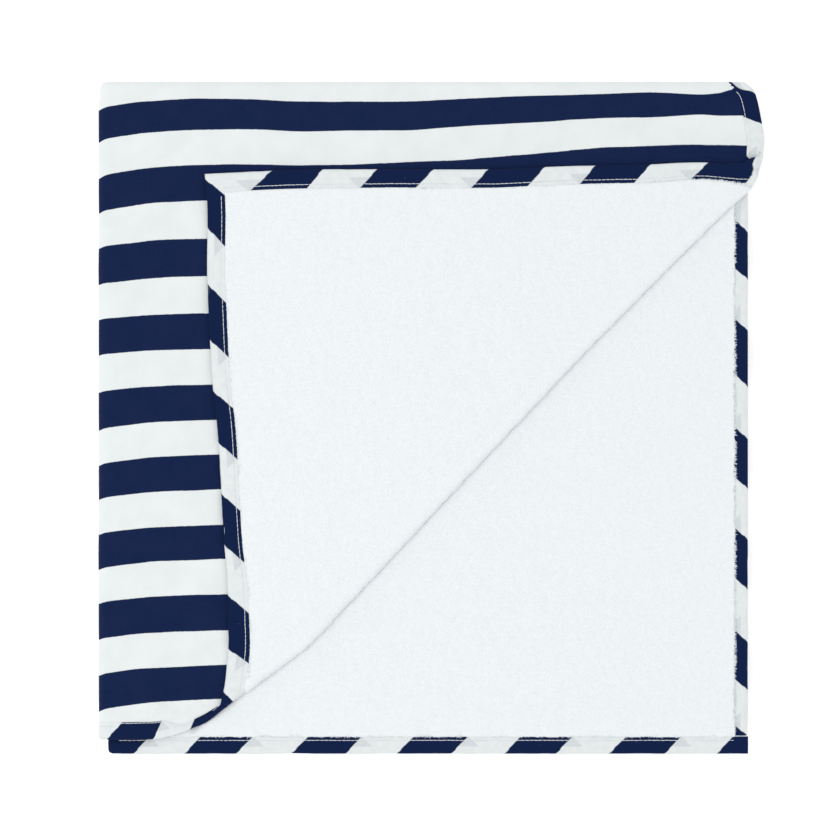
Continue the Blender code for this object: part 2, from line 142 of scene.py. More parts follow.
# ------------------------------------------------------------------ outlines of the flat front sheet
FLAP_LEFT = [(-148.4, -197.0), (-146.9, -190.6), (-145.5, -177.2), (-144.1, -162.9), (-144.6, -124.6), (-146.8, -89.1), (-148.9, -52.9),
             (-152.0, -2.5), (-154.6, 19.5), (-157.0, 55.7), (-158.7, 95.5), (-158.8, 153.0), (-160.6, 172.9)]
FLAP_TOP = [(-160.8, 173.2), (-113.6, 175.5), (-38.0, 176.7), (40.1, 176.4), (80.6, 178.1), (116.1, 179.3), (155.8, 180.0), (196.3, 181.2),
            (226.1, 184.6), (230.4, 185.5)]
TIP = tuple(float(v) for v in unfold(-160.8, 173.2))
_left = [tuple(map(float, unfold(*p))) for p in FLAP_LEFT]
_top = [tuple(map(float, unfold(*p))) for p in FLAP_TOP]
_bottom_points = [(-240, -227.7), (-215, -227.6), (-197, -227.3), (-182, -224.4), (-169.3, -219.5), (-158.7, -214.3), (-147.6, -208.0)]
_bottom_points += [p for p in _left if p[0] > _bottom_points[-1][0] + 6] + [(TIP[0] + 8, TIP[1])]
_right_points = [(TIP[1] - 8, TIP[0])] + sorted((q, x) for x, q in _top)
_right_points = [p for p in _right_points if p[0] < 182] + [(188, 235.6), (196.3, 236.1), (208.7, 234.4), (219.7, 232.5), (229, 230.2), (234.5, 227.6),
                                                          (239.5, 223.6), (244, 223.0), (250, 224.0), (262, RIGHT_L2), (400, RIGHT_L2), (760, RIGHT_L2)]


def clean(points, gap=1.0):
    out = [points[0]]
    for p in points[1:]:
        if p[0] > out[-1][0] + gap:
            out.append(p)
    return out


bottom_edge = curve(clean(_bottom_points))
right_edge = curve(clean(_right_points))


def settle(q, start, quarter):
    """The outer layer slopes down towards the top fold."""
    return 1.3 * smooth((q - 218) / 15.5) * (1 - smooth((q - start) / quarter))


def front(x, q, d):
    """Front half: flat (x, q) and depth to a place. The turned corner lies past the crease, the inner layer past the top fold."""
    x, q, d = np.broadcast_arrays(np.asarray(x, float), np.asarray(q, float), np.asarray(d, float))
    d = d + settle(q, Y_ROLL, R_ROLL * PI / 2) * np.clip(1 - d / 4.4, 0, 1)
    u, n = to_un(x, q)
    n0 = fold_start(u)
    m = np.where(q < Y_ROLL - 20, n - n0, -99.0)
    th = np.clip(m / (ARC / PI), 0, PI)
    r = 0.15 + d
    n_in = np.where(m <= 0, n, np.where(th < PI, n0 + r * np.sin(th), n0 - (m - ARC)))
    off = r * np.cos(th)
    off = np.where(abs(off) < 0.13, np.where(th < PI / 2, 0.13, -0.13), off)
    px, py = from_un(u, n_in)
    pz = Z_FOLD - off
    ph = np.clip((q - Y_ROLL) / R_ROLL, 0, PI)
    rr = R_ROLL - d
    rolled = q > Y_ROLL
    py = np.where(rolled, Y_ROLL + (rr + PLUMP) * np.sin(ph) - np.maximum(q - Q_L2, 0), py)
    pz = np.where(rolled, Z_L2 + R_ROLL + rr * np.cos(ph), pz)
    px = np.where(rolled, x, px)
    return np.stack([px, py, pz], -1)


def back(x, q, d):
    x, q, d = np.broadcast_arrays(np.asarray(x, float), np.asarray(q, float), np.asarray(d, float))
    ph = np.clip((q - Y_BACK) / R_BACK, 0, PI)
    rr = R_BACK - d
    y = np.where(q > Y_BACK, Y_BACK + rr * np.sin(ph) - np.maximum(q - Q_L3, 0), q)
    return np.stack([x, y, R_BACK - rr * np.cos(ph)], -1)


# the side fold's outline across the layers, from the lowest sheet's join round to the outer front sheet's
_ph = np.linspace(-PI / 2, PI / 2, 121)
_px = (LEFT + 11.0) - 11.0 * np.abs(np.cos(_ph)) ** 0.80
_pz = Z_L1 / 2 + Z_L1 / 2 * np.sign(np.sin(_ph)) * np.abs(np.sin(_ph)) ** 0.80
_px, _pz = np.concatenate([[JOIN], _px, [JOIN]]), np.concatenate([[0.0], _pz, [Z_L1]])
_t = np.concatenate([[0], np.cumsum(np.hypot(np.diff(_px), np.diff(_pz)))])
T_END = _t[-1]
T_MID = T_END / 2
_tt = np.linspace(0, T_END, 400)
_sx, _sz = np.interp(_tt, _t, _px), np.interp(_tt, _t, _pz)
_gx, _gz = np.gradient(_sx, _tt), np.gradient(_sz, _tt)
_k = np.ones(9) / 9
_gx, _gz = (np.convolve(np.pad(g, 4, mode="edge"), _k, "valid") for g in (_gx, _gz))
_gl = np.hypot(_gx, _gz)
_nx, _nz = _gz / _gl, -_gx / _gl        # into the cloth


def wrap(t, q, d):
    """Side fold: t round the outline, q along the towel, depth."""
    t, q, d = np.broadcast_arrays(np.asarray(t, float), np.asarray(q, float), np.asarray(d, float))
    x, z = np.interp(t, _tt, _sx), np.interp(t, _tt, _sz)
    nx, nz = np.interp(t, _tt, _nx), np.interp(t, _tt, _nz)
    rise = smooth(z / Z_L1)
    r = R_BACK + (R_ROLL - R_BACK) * rise
    yc = 238.0 - r
    d = d + rise * settle(q, yc, r * PI / 2) * np.clip(1 - d / 4.4, 0, 1)
    ph = np.clip((q - yc) / r, 0, PI * 0.75)
    inward = np.where(q > yc, r - (r - d) * np.cos(ph), d)
    y = np.where(q > yc, yc + (r - d + PLUMP * rise) * np.sin(ph), q)
    return np.stack([x + nx * inward, y, z + nz * inward], -1)


def inner_wrap(t, q, d):
    """Inner side fold: t is the angle, 0 on the inner back layer, pi on the inner front one."""
    t, q, d = np.broadcast_arrays(np.asarray(t, float), np.asarray(q, float), np.asarray(d, float))
    r = 0.15 + d
    return np.stack([INNER_LEFT - r * np.sin(t), q, 12.45 - r * np.cos(t)], -1)


# ------------------------------------------------------------------ stripes: where each printed edge lies on the outer front layer
STRIPE = 25.0
_cols = np.array([-236.0, -231.8, -224.7, -214.0, -199.9, -182.1, -164.4, -128.9, -93.4, -57.9, -22.4, 13.1, 48.6, 84.1, 119.6, 155.1, 190.6, 204.8, 215.5, 226.0])
_base = np.array([226.8, 204.8, 180.0, 154.4, 127.4, 100.5, 74.2, 48.6, 23.8, -1.1, -25.9, -50.8, -75.6, -99.8, -124.6, -150.2, -175.0, -199.2])
_droop = np.array([8.5, 9.2, 10.0, 9.2, 7.0, 5.7, 4.3, 4.3, 5.7, 7.8, 7.8, 7.1, 7.1, 7.8, 7.1, 7.1, 7.8, 8.5])
_fade = np.array([1, .8, .65, .45, .22, .08, 0] + [-0.05] * 13)
EDGES = _base[:, None] - _droop[:, None] * _fade[None, :]
EDGES[0, 7:] = [226.1, 224.7, 224.7, 224.7, 226.1, 227.6, 229.0, 229.7, 231.1, 229.7, 231.1, 233.9, 234.0]
EDGES[1, 7:] = [204.8, 203.4, 204.1, 204.1, 206.3, 208.4, 210.5, 212.7, 213.4, 215.5, 214.8, 214.8, 214.6]
EDGES[2, 7:] = [180.0, 179.3, 180.0, 181.4, 182.8, 185.7, 188.5, 192.1, 193.5, 194.2, 194.2, 194.2, 194.0]


EDGE_CURVES = [curve(list(zip(_cols, row))) for row in EDGES]


def band(x, q):
    """Stripe coordinate in mm: navy from 0 to 25, white to 50, and so on, counted down from the top."""
    x, q = np.broadcast_arrays(np.asarray(x, float), np.asarray(q, float))
    xs = np.clip(x, _cols[0], _cols[-1])
    wob = 0.45 * noise(x, q, 45, 3) + 0.2 * noise(x, q, 14, 4)
    y = q + wob
    lines = [f(xs) for f in EDGE_CURVES]
    b = np.minimum(lines[0] - y, 0) / STRIPE
    for hi, lo in zip(lines, lines[1:]):
        b = b + np.clip((hi - y) / (hi - lo), 0, 1)
    return (b + np.maximum(lines[-1] - y, 0) / STRIPE) * STRIPE


# ------------------------------------------------------------------ mesh helpers
MATS = {}


def add_mesh(name, verts, faces, kind, attrs=None, sharp=None):
    """faces is a list of arrays, each (n, k)."""
    verts = np.asarray(verts, float)
    total = 0.0
    for f in faces:
        a = verts[f[:, 0]]
        for i in range(1, f.shape[1] - 1):
            total += np.einsum("ij,ij->i", a, np.cross(verts[f[:, i]], verts[f[:, i + 1]])).sum()
    if total < 0:
        faces = [f[:, ::-1] for f in faces]
    me = bpy.data.meshes.new(name)
    me.vertices.add(len(verts))
    me.vertices.foreach_set("co", (verts * 0.001).astype(np.float32).ravel())
    loops = np.concatenate([f.ravel() for f in faces]).astype(np.int32)
    sizes = np.concatenate([np.full(len(f), f.shape[1]) for f in faces])
    starts = np.concatenate([[0], np.cumsum(sizes)[:-1]]).astype(np.int32)
    me.loops.add(len(loops))
    me.loops.foreach_set("vertex_index", loops)
    me.polygons.add(len(sizes))
    me.polygons.foreach_set("loop_start", starts)
    me.update(calc_edges=True)
    me.validate()
    for key, value in (attrs or {}).items():
        at = me.attributes.new(key, "FLOAT_VECTOR", "POINT")
        at.data.foreach_set("vector", np.asarray(value, np.float32).reshape(-1, 3).ravel())
    me.shade_smooth()
    if sharp:
        me.set_sharp_from_angle(angle=math.radians(sharp))
    ob = bpy.data.objects.new(name, me)
    bpy.context.scene.collection.objects.link(ob)
    me.materials.append(MATS[kind])
    return ob


def quads(nu, nv):
    idx = np.arange(nu * nv).reshape(nu, nv)
    return idx, np.stack([idx[:-1, :-1], idx[1:, :-1], idx[1:, 1:], idx[:-1, 1:]], -1).reshape(-1, 4)


def closed_sheet(name, top, low, coords, kind, sharp=55):
    nu, nv = top.shape[:2]
    idx, f = quads(nu, nv)
    n = nu * nv
    loop = np.concatenate([idx[:-1, 0], idx[-1, :-1], idx[:0:-1, -1], idx[0, :0:-1]])
    nxt = np.roll(loop, -1)
    rim = np.stack([nxt, loop, loop + n, nxt + n], -1)
    return add_mesh(name, np.concatenate([top.reshape(-1, 3), low.reshape(-1, 3)]), [f, f[:, ::-1] + n, rim], kind,
                    {"cloth": np.concatenate([coords.reshape(-1, 3)] * 2)}, sharp)


def cloth_coords(x, b, seed):
    return np.stack([x, b, np.full(x.shape, float(seed))], -1)


def flat_area(x, q):
    """Area of the flat cut, in square metres."""
    dx1, dq1 = x[1:, :-1] - x[:-1, :-1], q[1:, :-1] - q[:-1, :-1]
    dx2, dq2 = x[:-1, 1:] - x[:-1, :-1], q[:-1, 1:] - q[:-1, :-1]
    return float(abs(dx1 * dq2 - dx2 * dq1).sum()) * 1e-6


# ------------------------------------------------------------------ materials
def lin(r, g, b):
    def f(c):
        c /= 255
        return c / 12.92 if c <= 0.04045 else ((c + 0.055) / 1.055) ** 2.4
    return (f(r), f(g), f(b), 1.0)


class Graph:
    def __init__(self, name, rough, specular, sheen, tint=(1, 1, 1, 1)):
        self.mat = bpy.data.materials.new(name)
        self.mat.use_nodes = True
        self.nt = self.mat.node_tree
        self.bsdf = self.nt.nodes["Principled BSDF"]
        self.bsdf.inputs["Roughness"].default_value = rough
        self.bsdf.inputs["Specular IOR Level"].default_value = specular
        self.bsdf.inputs["Sheen Weight"].default_value = sheen
        self.bsdf.inputs["Sheen Roughness"].default_value = 0.45
        self.bsdf.inputs["Sheen Tint"].default_value = tint

    def put(self, socket, value):
        if isinstance(value, bpy.types.NodeSocket):
            self.nt.links.new(value, socket)
        else:
            socket.default_value = value

    def math(self, op, a, b=None, c=None, clamp=False):
        n = self.nt.nodes.new("ShaderNodeMath")
        n.operation, n.use_clamp = op, clamp
        for i, v in enumerate((a, b, c)):
            if v is not None:
                self.put(n.inputs[i], v)
        return n.outputs[0]

    def attr(self, name):
        n = self.nt.nodes.new("ShaderNodeAttribute")
        n.attribute_name = name
        s = self.nt.nodes.new("ShaderNodeSeparateXYZ")
        self.nt.links.new(n.outputs["Vector"], s.inputs[0])
        return n.outputs["Vector"], s.outputs[0], s.outputs[1], s.outputs[2]

    def noise(self, vec, scale, detail=2.0, rough=0.55):
        n = self.nt.nodes.new("ShaderNodeTexNoise")
        self.put(n.inputs["Vector"], vec)
        n.inputs["Scale"].default_value = scale
        n.inputs["Detail"].default_value = detail
        n.inputs["Roughness"].default_value = rough
        return n.outputs["Fac"]

    def cells(self, vec, scale, feature="F1", smoothness=None):
        n = self.nt.nodes.new("ShaderNodeTexVoronoi")
        n.feature = feature
        self.put(n.inputs["Vector"], vec)
        n.inputs["Scale"].default_value = scale
        if smoothness is not None:
            n.inputs["Smoothness"].default_value = smoothness
        return n.outputs["Distance"]

    def mix(self, fac, a, b):
        n = self.nt.nodes.new("ShaderNodeMix")
        n.data_type = "RGBA"
        self.put(n.inputs[0], fac)
        self.put(n.inputs[6], a)
        self.put(n.inputs[7], b)
        return n.outputs[2]

    def streaks(self, x, y, long, short):
        """Noise drawn out along the warp and along the weft."""
        out = []
        for a, b in ((long, short), (short, long)):
            n = self.nt.nodes.new("ShaderNodeCombineXYZ")
            self.put(n.inputs[0], self.math("MULTIPLY", x, a))
            self.put(n.inputs[1], self.math("MULTIPLY", y, b))
            out.append(self.noise(n.outputs[0], 1.0, 2, 0.6))
        return self.math("MULTIPLY", self.math("ADD", *out), 0.5)

    def ramp(self, value, lo, hi):
        n = self.nt.nodes.new("ShaderNodeMapRange")
        self.put(n.inputs[0], value)
        n.inputs[1].default_value, n.inputs[2].default_value = lo, hi
        n.clamp = True
        return n.outputs[0]

    def bump(self, height, strength, distance, normal=None):
        n = self.nt.nodes.new("ShaderNodeBump")
        n.inputs["Strength"].default_value = strength
        n.inputs["Distance"].default_value = distance
        self.put(n.inputs["Height"], height)
        if normal is not None:
            self.put(n.inputs["Normal"], normal)
        return n.outputs[0]


NAVY_A, NAVY_B = (0.0036, 0.0108, 0.0450, 1), (0.0070, 0.0158, 0.0610, 1)
WHITE_A, WHITE_B = (0.690, 0.725, 0.725, 1), (0.735, 0.765, 0.765, 1)


def weave(g, x, y, period=0.55):
    """Over and under of a plain weave."""
    k = 2 * PI / period
    a = g.math("SINE", g.math("MULTIPLY", x, k))
    b = g.math("SINE", g.math("MULTIPLY", y, k))
    return g.math("MULTIPLY_ADD", g.math("MULTIPLY", a, b), 0.5, 0.5)


def make_cotton():
    g = Graph("striped_cotton", 0.9, 0.03, 0.03)
    vec, x, y, _ = g.attr("cloth")
    ragged = g.math("ADD", g.math("MULTIPLY_ADD", g.noise(vec, 0.45, 3), 0.5, -0.25), g.math("MULTIPLY_ADD", g.noise(vec, 2.6, 2), 0.3, -0.15))
    f = g.math("FRACT", g.math("MULTIPLY_ADD", g.math("ADD", y, ragged), 0.02, 0.25))
    dist = g.math("MULTIPLY", g.math("SUBTRACT", 0.25, g.math("ABSOLUTE", g.math("SUBTRACT", f, 0.5))), 50)
    ink = g.math("MULTIPLY_ADD", dist, 2.6, 0.5, clamp=True)
    fine = g.noise(vec, 2.2, 3, 0.7)
    broad = g.noise(vec, 0.05, 3)
    navy = g.mix(g.ramp(fine, 0.3, 0.72), NAVY_A, NAVY_B)
    navy = g.mix(g.ramp(broad, 0.3, 0.75), navy, g.mix(0.35, navy, (0.012, 0.021, 0.062, 1)))
    thread = g.streaks(x, y, 0.09, 1.5)
    navy = g.mix(g.math("MULTIPLY", g.ramp(thread, 0.36, 0.64), 0.55), navy, (0.0105, 0.0200, 0.0700, 1))
    speck = g.math("LESS_THAN", g.cells(vec, 0.085), 0.018)
    navy = g.mix(g.math("MULTIPLY", speck, 0.5), navy, (0.16, 0.18, 0.26, 1))
    white = g.mix(g.ramp(broad, 0.35, 0.7), WHITE_A, WHITE_B)
    white = g.mix(g.math("MULTIPLY", g.ramp(fine, 0.35, 0.75), 0.25), white, (0.64, 0.675, 0.68, 1))
    g.put(g.bsdf.inputs["Base Color"], g.mix(ink, white, navy))
    white = g.mix(g.math("MULTIPLY", g.ramp(thread, 0.36, 0.64), 0.35), white, (0.685, 0.715, 0.72, 1))
    slub = g.math("ADD", g.math("MULTIPLY", g.noise(vec, 1.1, 3, 0.6), 0.6), thread)
    h = g.math("ADD", g.math("MULTIPLY", weave(g, x, y), 0.6), g.math("MULTIPLY", slub, 0.8))
    g.put(g.bsdf.inputs["Roughness"], g.math("MULTIPLY_ADD", fine, 0.12, 0.80))
    g.put(g.bsdf.inputs["Normal"], g.bump(h, 0.45, 0.00010))
    return g.mat


def make_terry():
    g = Graph("terry", 0.95, 0.05, 0.10)
    vec, x, y, _ = g.attr("cloth")
    loops = g.cells(vec, 0.72, "SMOOTH_F1", 0.35)
    tiny = g.noise(vec, 1.7, 4, 0.7)
    broad = g.noise(vec, 0.06, 4, 0.6)
    mid = g.noise(vec, 0.35, 3, 0.6)
    pile_crevice_shade = g.ramp(loops, 0.25, 0.85)
    col = g.mix(g.ramp(mid, 0.3, 0.7), (0.745, 0.780, 0.795, 1), (0.792, 0.820, 0.832, 1))
    # painted shade: the colour darkens towards the edges of the pile's cells, standing in for the shadow between the
    # loops
    col = g.mix(g.math("MULTIPLY", pile_crevice_shade, 0.30), col, (0.655, 0.685, 0.705, 1))
    # painted highlight: where the fine pile noise raises the bump, the colour is lightened towards a brighter white
    col = g.mix(g.math("MULTIPLY", g.ramp(tiny, 0.45, 0.8), 0.30), col, (0.86, 0.885, 0.90, 1))
    col = g.mix(g.math("MULTIPLY", g.ramp(broad, 0.35, 0.7), 0.20), col, (0.72, 0.765, 0.80, 1))
    g.put(g.bsdf.inputs["Base Color"], col)
    h = g.math("ADD", g.math("MULTIPLY", g.math("SUBTRACT", 1.0, pile_crevice_shade), 0.8), g.math("MULTIPLY", tiny, 1.0))
    g.put(g.bsdf.inputs["Roughness"], g.math("MULTIPLY_ADD", tiny, 0.1, 0.88))
    g.put(g.bsdf.inputs["Normal"], g.bump(h, 0.55, 0.00042))
    return g.mat


def make_binding():
    g = Graph("bias_binding", 0.88, 0.03, 0.03)
    vec, ph, e, side = g.attr("bias")
    vec2, x, y, _ = g.attr("cloth")
    rag = g.math("ADD", g.math("MULTIPLY_ADD", g.noise(vec2, 0.5, 3), 0.012, -0.006), g.math("MULTIPLY_ADD", g.noise(vec2, 2.6, 2), 0.006, -0.003))
    rag = g.math("ADD", rag, ph)

    def ink(shift, hard=100.0):
        f = g.math("FRACT", g.math("ADD", g.math("SUBTRACT", rag, shift), 0.25))
        d = g.math("SUBTRACT", 0.25, g.math("ABSOLUTE", g.math("SUBTRACT", f, 0.5)))
        return g.math("MULTIPLY_ADD", d, hard, 0.5, clamp=True)
    shown = ink(e)
    under = ink(g.math("SUBTRACT", g.math("MULTIPLY", side, 2 * BIND_W / PERIOD), e), 60.0)
    under = g.math("MULTIPLY", under, g.ramp(g.math("ABSOLUTE", e), 4.6 / PERIOD, 5.6 / PERIOD))
    fine = g.noise(vec2, 2.2, 3, 0.7)
    navy = g.mix(g.ramp(fine, 0.3, 0.72), NAVY_A, NAVY_B)
    speck = g.math("LESS_THAN", g.cells(vec2, 0.13), 0.03)
    navy = g.mix(g.math("MULTIPLY", speck, 0.7), navy, (0.30, 0.33, 0.42, 1))
    white = g.mix(g.ramp(g.noise(vec2, 0.2, 2), 0.35, 0.7), (0.655, 0.69, 0.695, 1), (0.70, 0.73, 0.735, 1))
    grey = g.mix(g.ramp(g.noise(vec2, 0.3, 2), 0.3, 0.7), (0.545, 0.585, 0.60, 1), (0.60, 0.635, 0.65, 1))
    col = g.mix(under, white, grey)
    g.put(g.bsdf.inputs["Base Color"], g.mix(shown, col, navy))
    diag1, diag2 = g.math("MULTIPLY", g.math("ADD", x, y), 0.7071), g.math("MULTIPLY", g.math("SUBTRACT", x, y), 0.7071)
    h = g.math("ADD", g.math("MULTIPLY", weave(g, diag1, diag2), 0.6), g.math("MULTIPLY", g.noise(vec2, 0.9, 3, 0.6), 1.0))
    g.put(g.bsdf.inputs["Roughness"], g.math("MULTIPLY_ADD", fine, 0.12, 0.78))
    g.put(g.bsdf.inputs["Normal"], g.bump(h, 0.5, 0.00012))
    return g.mat


def make_thread():
    g = Graph("thread", 0.6, 0.25, 0.1)
    vec, x, y, _ = g.attr("cloth")
    twist = g.math("SINE", g.math("MULTIPLY_ADD", x, 9.0, g.math("MULTIPLY", y, 6.0)))
    tw = g.math("MULTIPLY_ADD", twist, 0.5, 0.5)
    # painted shade and highlight: the twist wave that raises the bump also darkens the thread in its grooves and
    # lightens it on its ridges
    col = g.mix(tw, (0.66, 0.68, 0.69, 1), (0.76, 0.775, 0.78, 1))
    col = g.mix(g.math("MULTIPLY", g.ramp(g.noise(vec, 0.8, 2), 0.4, 0.7), 0.3), col, (0.58, 0.59, 0.62, 1))
    g.put(g.bsdf.inputs["Base Color"], col)
    g.put(g.bsdf.inputs["Roughness"], g.math("MULTIPLY_ADD", tw, 0.1, 0.55))
    g.put(g.bsdf.inputs["Normal"], g.bump(tw, 0.4, 0.00008))
    return g.mat


MATS["striped_cotton"], MATS["terry"], MATS["bias_binding"], MATS["thread"] = make_cotton(), make_terry(), make_binding(), make_thread()

S_LOW, MID, S_HIGH = (-0.2258, 0, 0.0), (-0.2368, 0, 0.01075), (-0.2258, 0, 0.0215)


# ------------------------------------------------------------------ the front half's two sheets, with the turned corner
NEAR = np.array([0.9, 4, 7, 8.3, 8.9, 9.5, 10.1, 10.7, 11.3, 11.9, 12.3, 12.8, 13.4, 14.2, 15.2, 16.5, 18, 20, 22.5, 25, 27.5, 30])


def front_grid(step):
    """Flat coordinates of the front half's cut: within 30 mm of an edge the grid's lines run parallel to it."""
    s_end, r_end = Q_FRONT_END + 228, 452.0
    s = np.concatenate([NEAR, np.arange(30 + step, s_end - 30 - step / 2, step), s_end - NEAR[::-1]])
    r = np.concatenate([NEAR, np.linspace(30, r_end, int((r_end - 30) / step))[1:]])
    s, r = np.meshgrid(s, r[::-1], indexing="ij")
    q, x = -228 + s, 230 - r
    for _ in range(7):
        low = bottom_edge(x) + 30
        q = np.where(s <= 30, low - 30 + s, np.where(s < 430, low + (202 - low) * ((s - 30) / 400), -228 + s))
        left = JOIN + (INNER_LEFT - JOIN) * smooth((q - Y_ROLL) / (PI * R_ROLL))
        edge = right_edge(q) - 30
        x = np.where(r <= 30, edge + 30 - r, edge + (left - edge) * ((r - 30) / (r_end - 30)))
    e_b = np.where(q < 200, q - bottom_edge(x), Q_FRONT_END - q)
    e_r = right_edge(q) - x
    return x, q, e_b, e_r


def in_fold(x, q):
    """Distance past the fold's start, positive on the roll and the turned corner."""
    u, n = to_un(x, q)
    return np.where(q < Y_ROLL - 20, n - fold_start(u), -99.0)


def wrinkle(x, q):
    """Slack in the outer front layer beside the crease's lower end, as a depth."""
    m = smooth((x + 238) / 25) * smooth((-184 - q) / 10)
    near = smooth((x + 215) / 40)
    a = np.radians(24)
    s, c = x * math.cos(a) + q * math.sin(a), -x * math.sin(a) + q * math.cos(a)
    r = 1 - abs(noise(s, c * 2.4, 22, 11))
    r2 = 1 - abs(noise(s, c * 2.2, 10, 12))
    w = (1.5 * r ** 4 + 0.8 * r2 ** 4) * m * (0.35 + 0.65 * near)
    soft = 0.10 * (1 + noise(x, q, 60, 5)) + 0.06 * (1 + noise(x, q, 23, 6))
    return w + soft


def build_front_sheets():
    x, q, e_b, e_r = front_grid(STEP * 1.3)
    m = in_fold(x, q)
    dip = smooth((13.4 + 1.2 * (m > 0) - np.minimum(e_b, e_r)) / 1.6)
    calm = smooth(-m / 6) * (q < Y_ROLL)
    w = wrinkle(x, q) * calm * (1 - dip) * smooth((x - JOIN) / 9)
    # the cotton turns on a tighter roll than the pile, so its stripes run on across the crease
    past = np.clip(m, 0, ARC)
    b = band(x - past * NX, q - past * NY)
    top = front(x, q, 0.0 + 0.68 * dip + w)
    low = front(x, q, 0.8 + 0.62 * dip + w)
    shell = closed_sheet("front_cotton", top, low, cloth_coords(x, b, 1), "striped_cotton")
    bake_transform(shell)
    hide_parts("front_shell", "corner_shell")
    shell_area = flat_area(x, q)

    x, q, e_b, e_r = front_grid(STEP)
    m = in_fold(x, q)
    inner = q > Q_L2
    turned = m > ARC * 0.35
    y_in = Y_ROLL - (q - Q_L2)
    ub, nb = to_un(x, y_in)
    bare = smooth((nb - crease_n(ub) + 6) / 8) * inner           # inner layer not covered by the turned corner
    seen = np.maximum(smooth(m / ARC * 2), bare)
    pile = 0.30 * noise(x, q, 2.5, 21) + 0.26 * noise(x, q, 4.3, 22) + 0.18 * noise(x, q, 8.5, 23)
    swell = 0.45 * noise(x, q, 52, 24) + 0.28 * noise(x, q, 21, 25)
    # faint dents in the bare inner layer, and puckers beside its bottom binding
    a = np.radians(-51)
    s, c = (x - 133) * math.cos(a) + (y_in + 108) * math.sin(a), -(x - 133) * math.sin(a) + (y_in + 108) * math.cos(a)
    dent = -1.3 * np.exp(-(c / 7) ** 2) * np.exp(-(s / 42) ** 2) - 0.5 * np.exp(-((c - 22) / 6) ** 2) * np.exp(-((s - 10) / 30) ** 2)
    pucker = 0.75 * np.sin(x / 4.6 + 1.5 * noise(x, q, 30, 26)) * np.exp(-np.maximum(e_b - 12, 0) / 13) * smooth((noise(x, q * 0.1, 55, 27) + 0.45) / 0.8)
    pucker_t = 0.35 * np.sin(q / 5.2 + 1.5 * noise(x, q, 30, 28)) * np.exp(-np.maximum(e_r - 12, 0) / 10)
    full = 4.3 + seen * (pile + 0.15) + swell * np.where(turned, smooth((m - ARC) / 10), bare) + inner * bare * (dent + pucker) + turned * pucker_t * 0.6
    # the pile crowds up beside the crease, and the turned corner slopes down to its roll
    off = nb - crease_n(ub)
    full = full + inner * 2.2 * smooth((off + 3.2) / 3.4) * np.exp(-(np.maximum(off, 0) / 8) ** 2)
    full = full - 1.5 * smooth((m - ARC / 2) / (ARC / 2)) * smooth((ARC + 14 - m) / 14) * (m > 0)
    hair = 0.5 * noise(x, q, 4.2, 31) + 0.45 * noise(x, q, 1.9, 32)
    cover_r = np.where(inner, 9.6 + 0.9 * hair, 12.2 * wide(q) - 0.35 + 0.35 * np.maximum(hair, -0.3))
    cover_b = np.where(inner, 11.95 + 0.35 * np.maximum(hair, -0.3), 12.2 * np.maximum(narrow(x), 1) - 0.35 + 0.35 * np.maximum(hair, -0.3))
    past_r, past_b = e_r - cover_r, e_b - cover_b
    k = np.clip(np.minimum(past_r, past_b) / 2.2, 0, 1)
    base = np.where(inner & (past_r < past_b), 4.16, 3.80)
    outer = np.where(k > 0, base + np.maximum(full - base, 0.15) * np.sqrt(1 - (1 - k) ** 2), 3.15)
    dip = smooth((14.4 - np.minimum(e_b, e_r)) / 1.6)
    slack = (1.1 * wrinkle(x, q) + 0.1) * smooth((x - JOIN) / 9) * smooth(-m / 6) * (1 - dip) * (q < Y_ROLL)
    top = front(x, q, outer)
    low = front(x, q, 1.1 + 0.5 * dip + slack)
    lining = closed_sheet("front_terry", top, low, cloth_coords(x, q, 2), "terry", 70)
    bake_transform(lining)
    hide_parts("front_lining", "corner_lining")
    return shell, lining, shell_area, flat_area(x, q)


# ------------------------------------------------------------------ binding: one folded bias strip round every edge
# (distance from the edge, depth) round the strip's cross-section
PROFILE = [(12.3, .16), (11.9, .03), (11.0, .04), (10.3, .06), (9.6, .28), (8.9, .06), (7.4, .0), (4.4, .0), (2.4, .04), (1.2, .28), (.4, .85), (.0, 1.95),
           (.4, 3.05), (1.2, 3.62), (2.4, 3.9), (4.4, 4.0), (7.4, 4.04), (8.9, 3.96), (9.6, 3.68), (10.3, 3.92), (11.0, 3.94), (11.9, 3.92), (12.3, 3.75),
           (12.3, 3.3), (9.4, 3.35), (4.4, 3.35), (1.9, 3.1), (.9, 1.95), (1.9, .8), (4.4, .55), (9.4, .55), (12.3, .6)]
_pe = np.array([p[0] for p in PROFILE])
_pd = np.array([p[1] for p in PROFILE])
_signed = np.where(_pd < 1.95, 1, -1) * np.maximum(_pe - 0.2, 0) + (1.95 - _pd) * 0.4 * (_pe < 2.5)
_side = np.where(_pd <= 1.95, 1.0, -1.0)


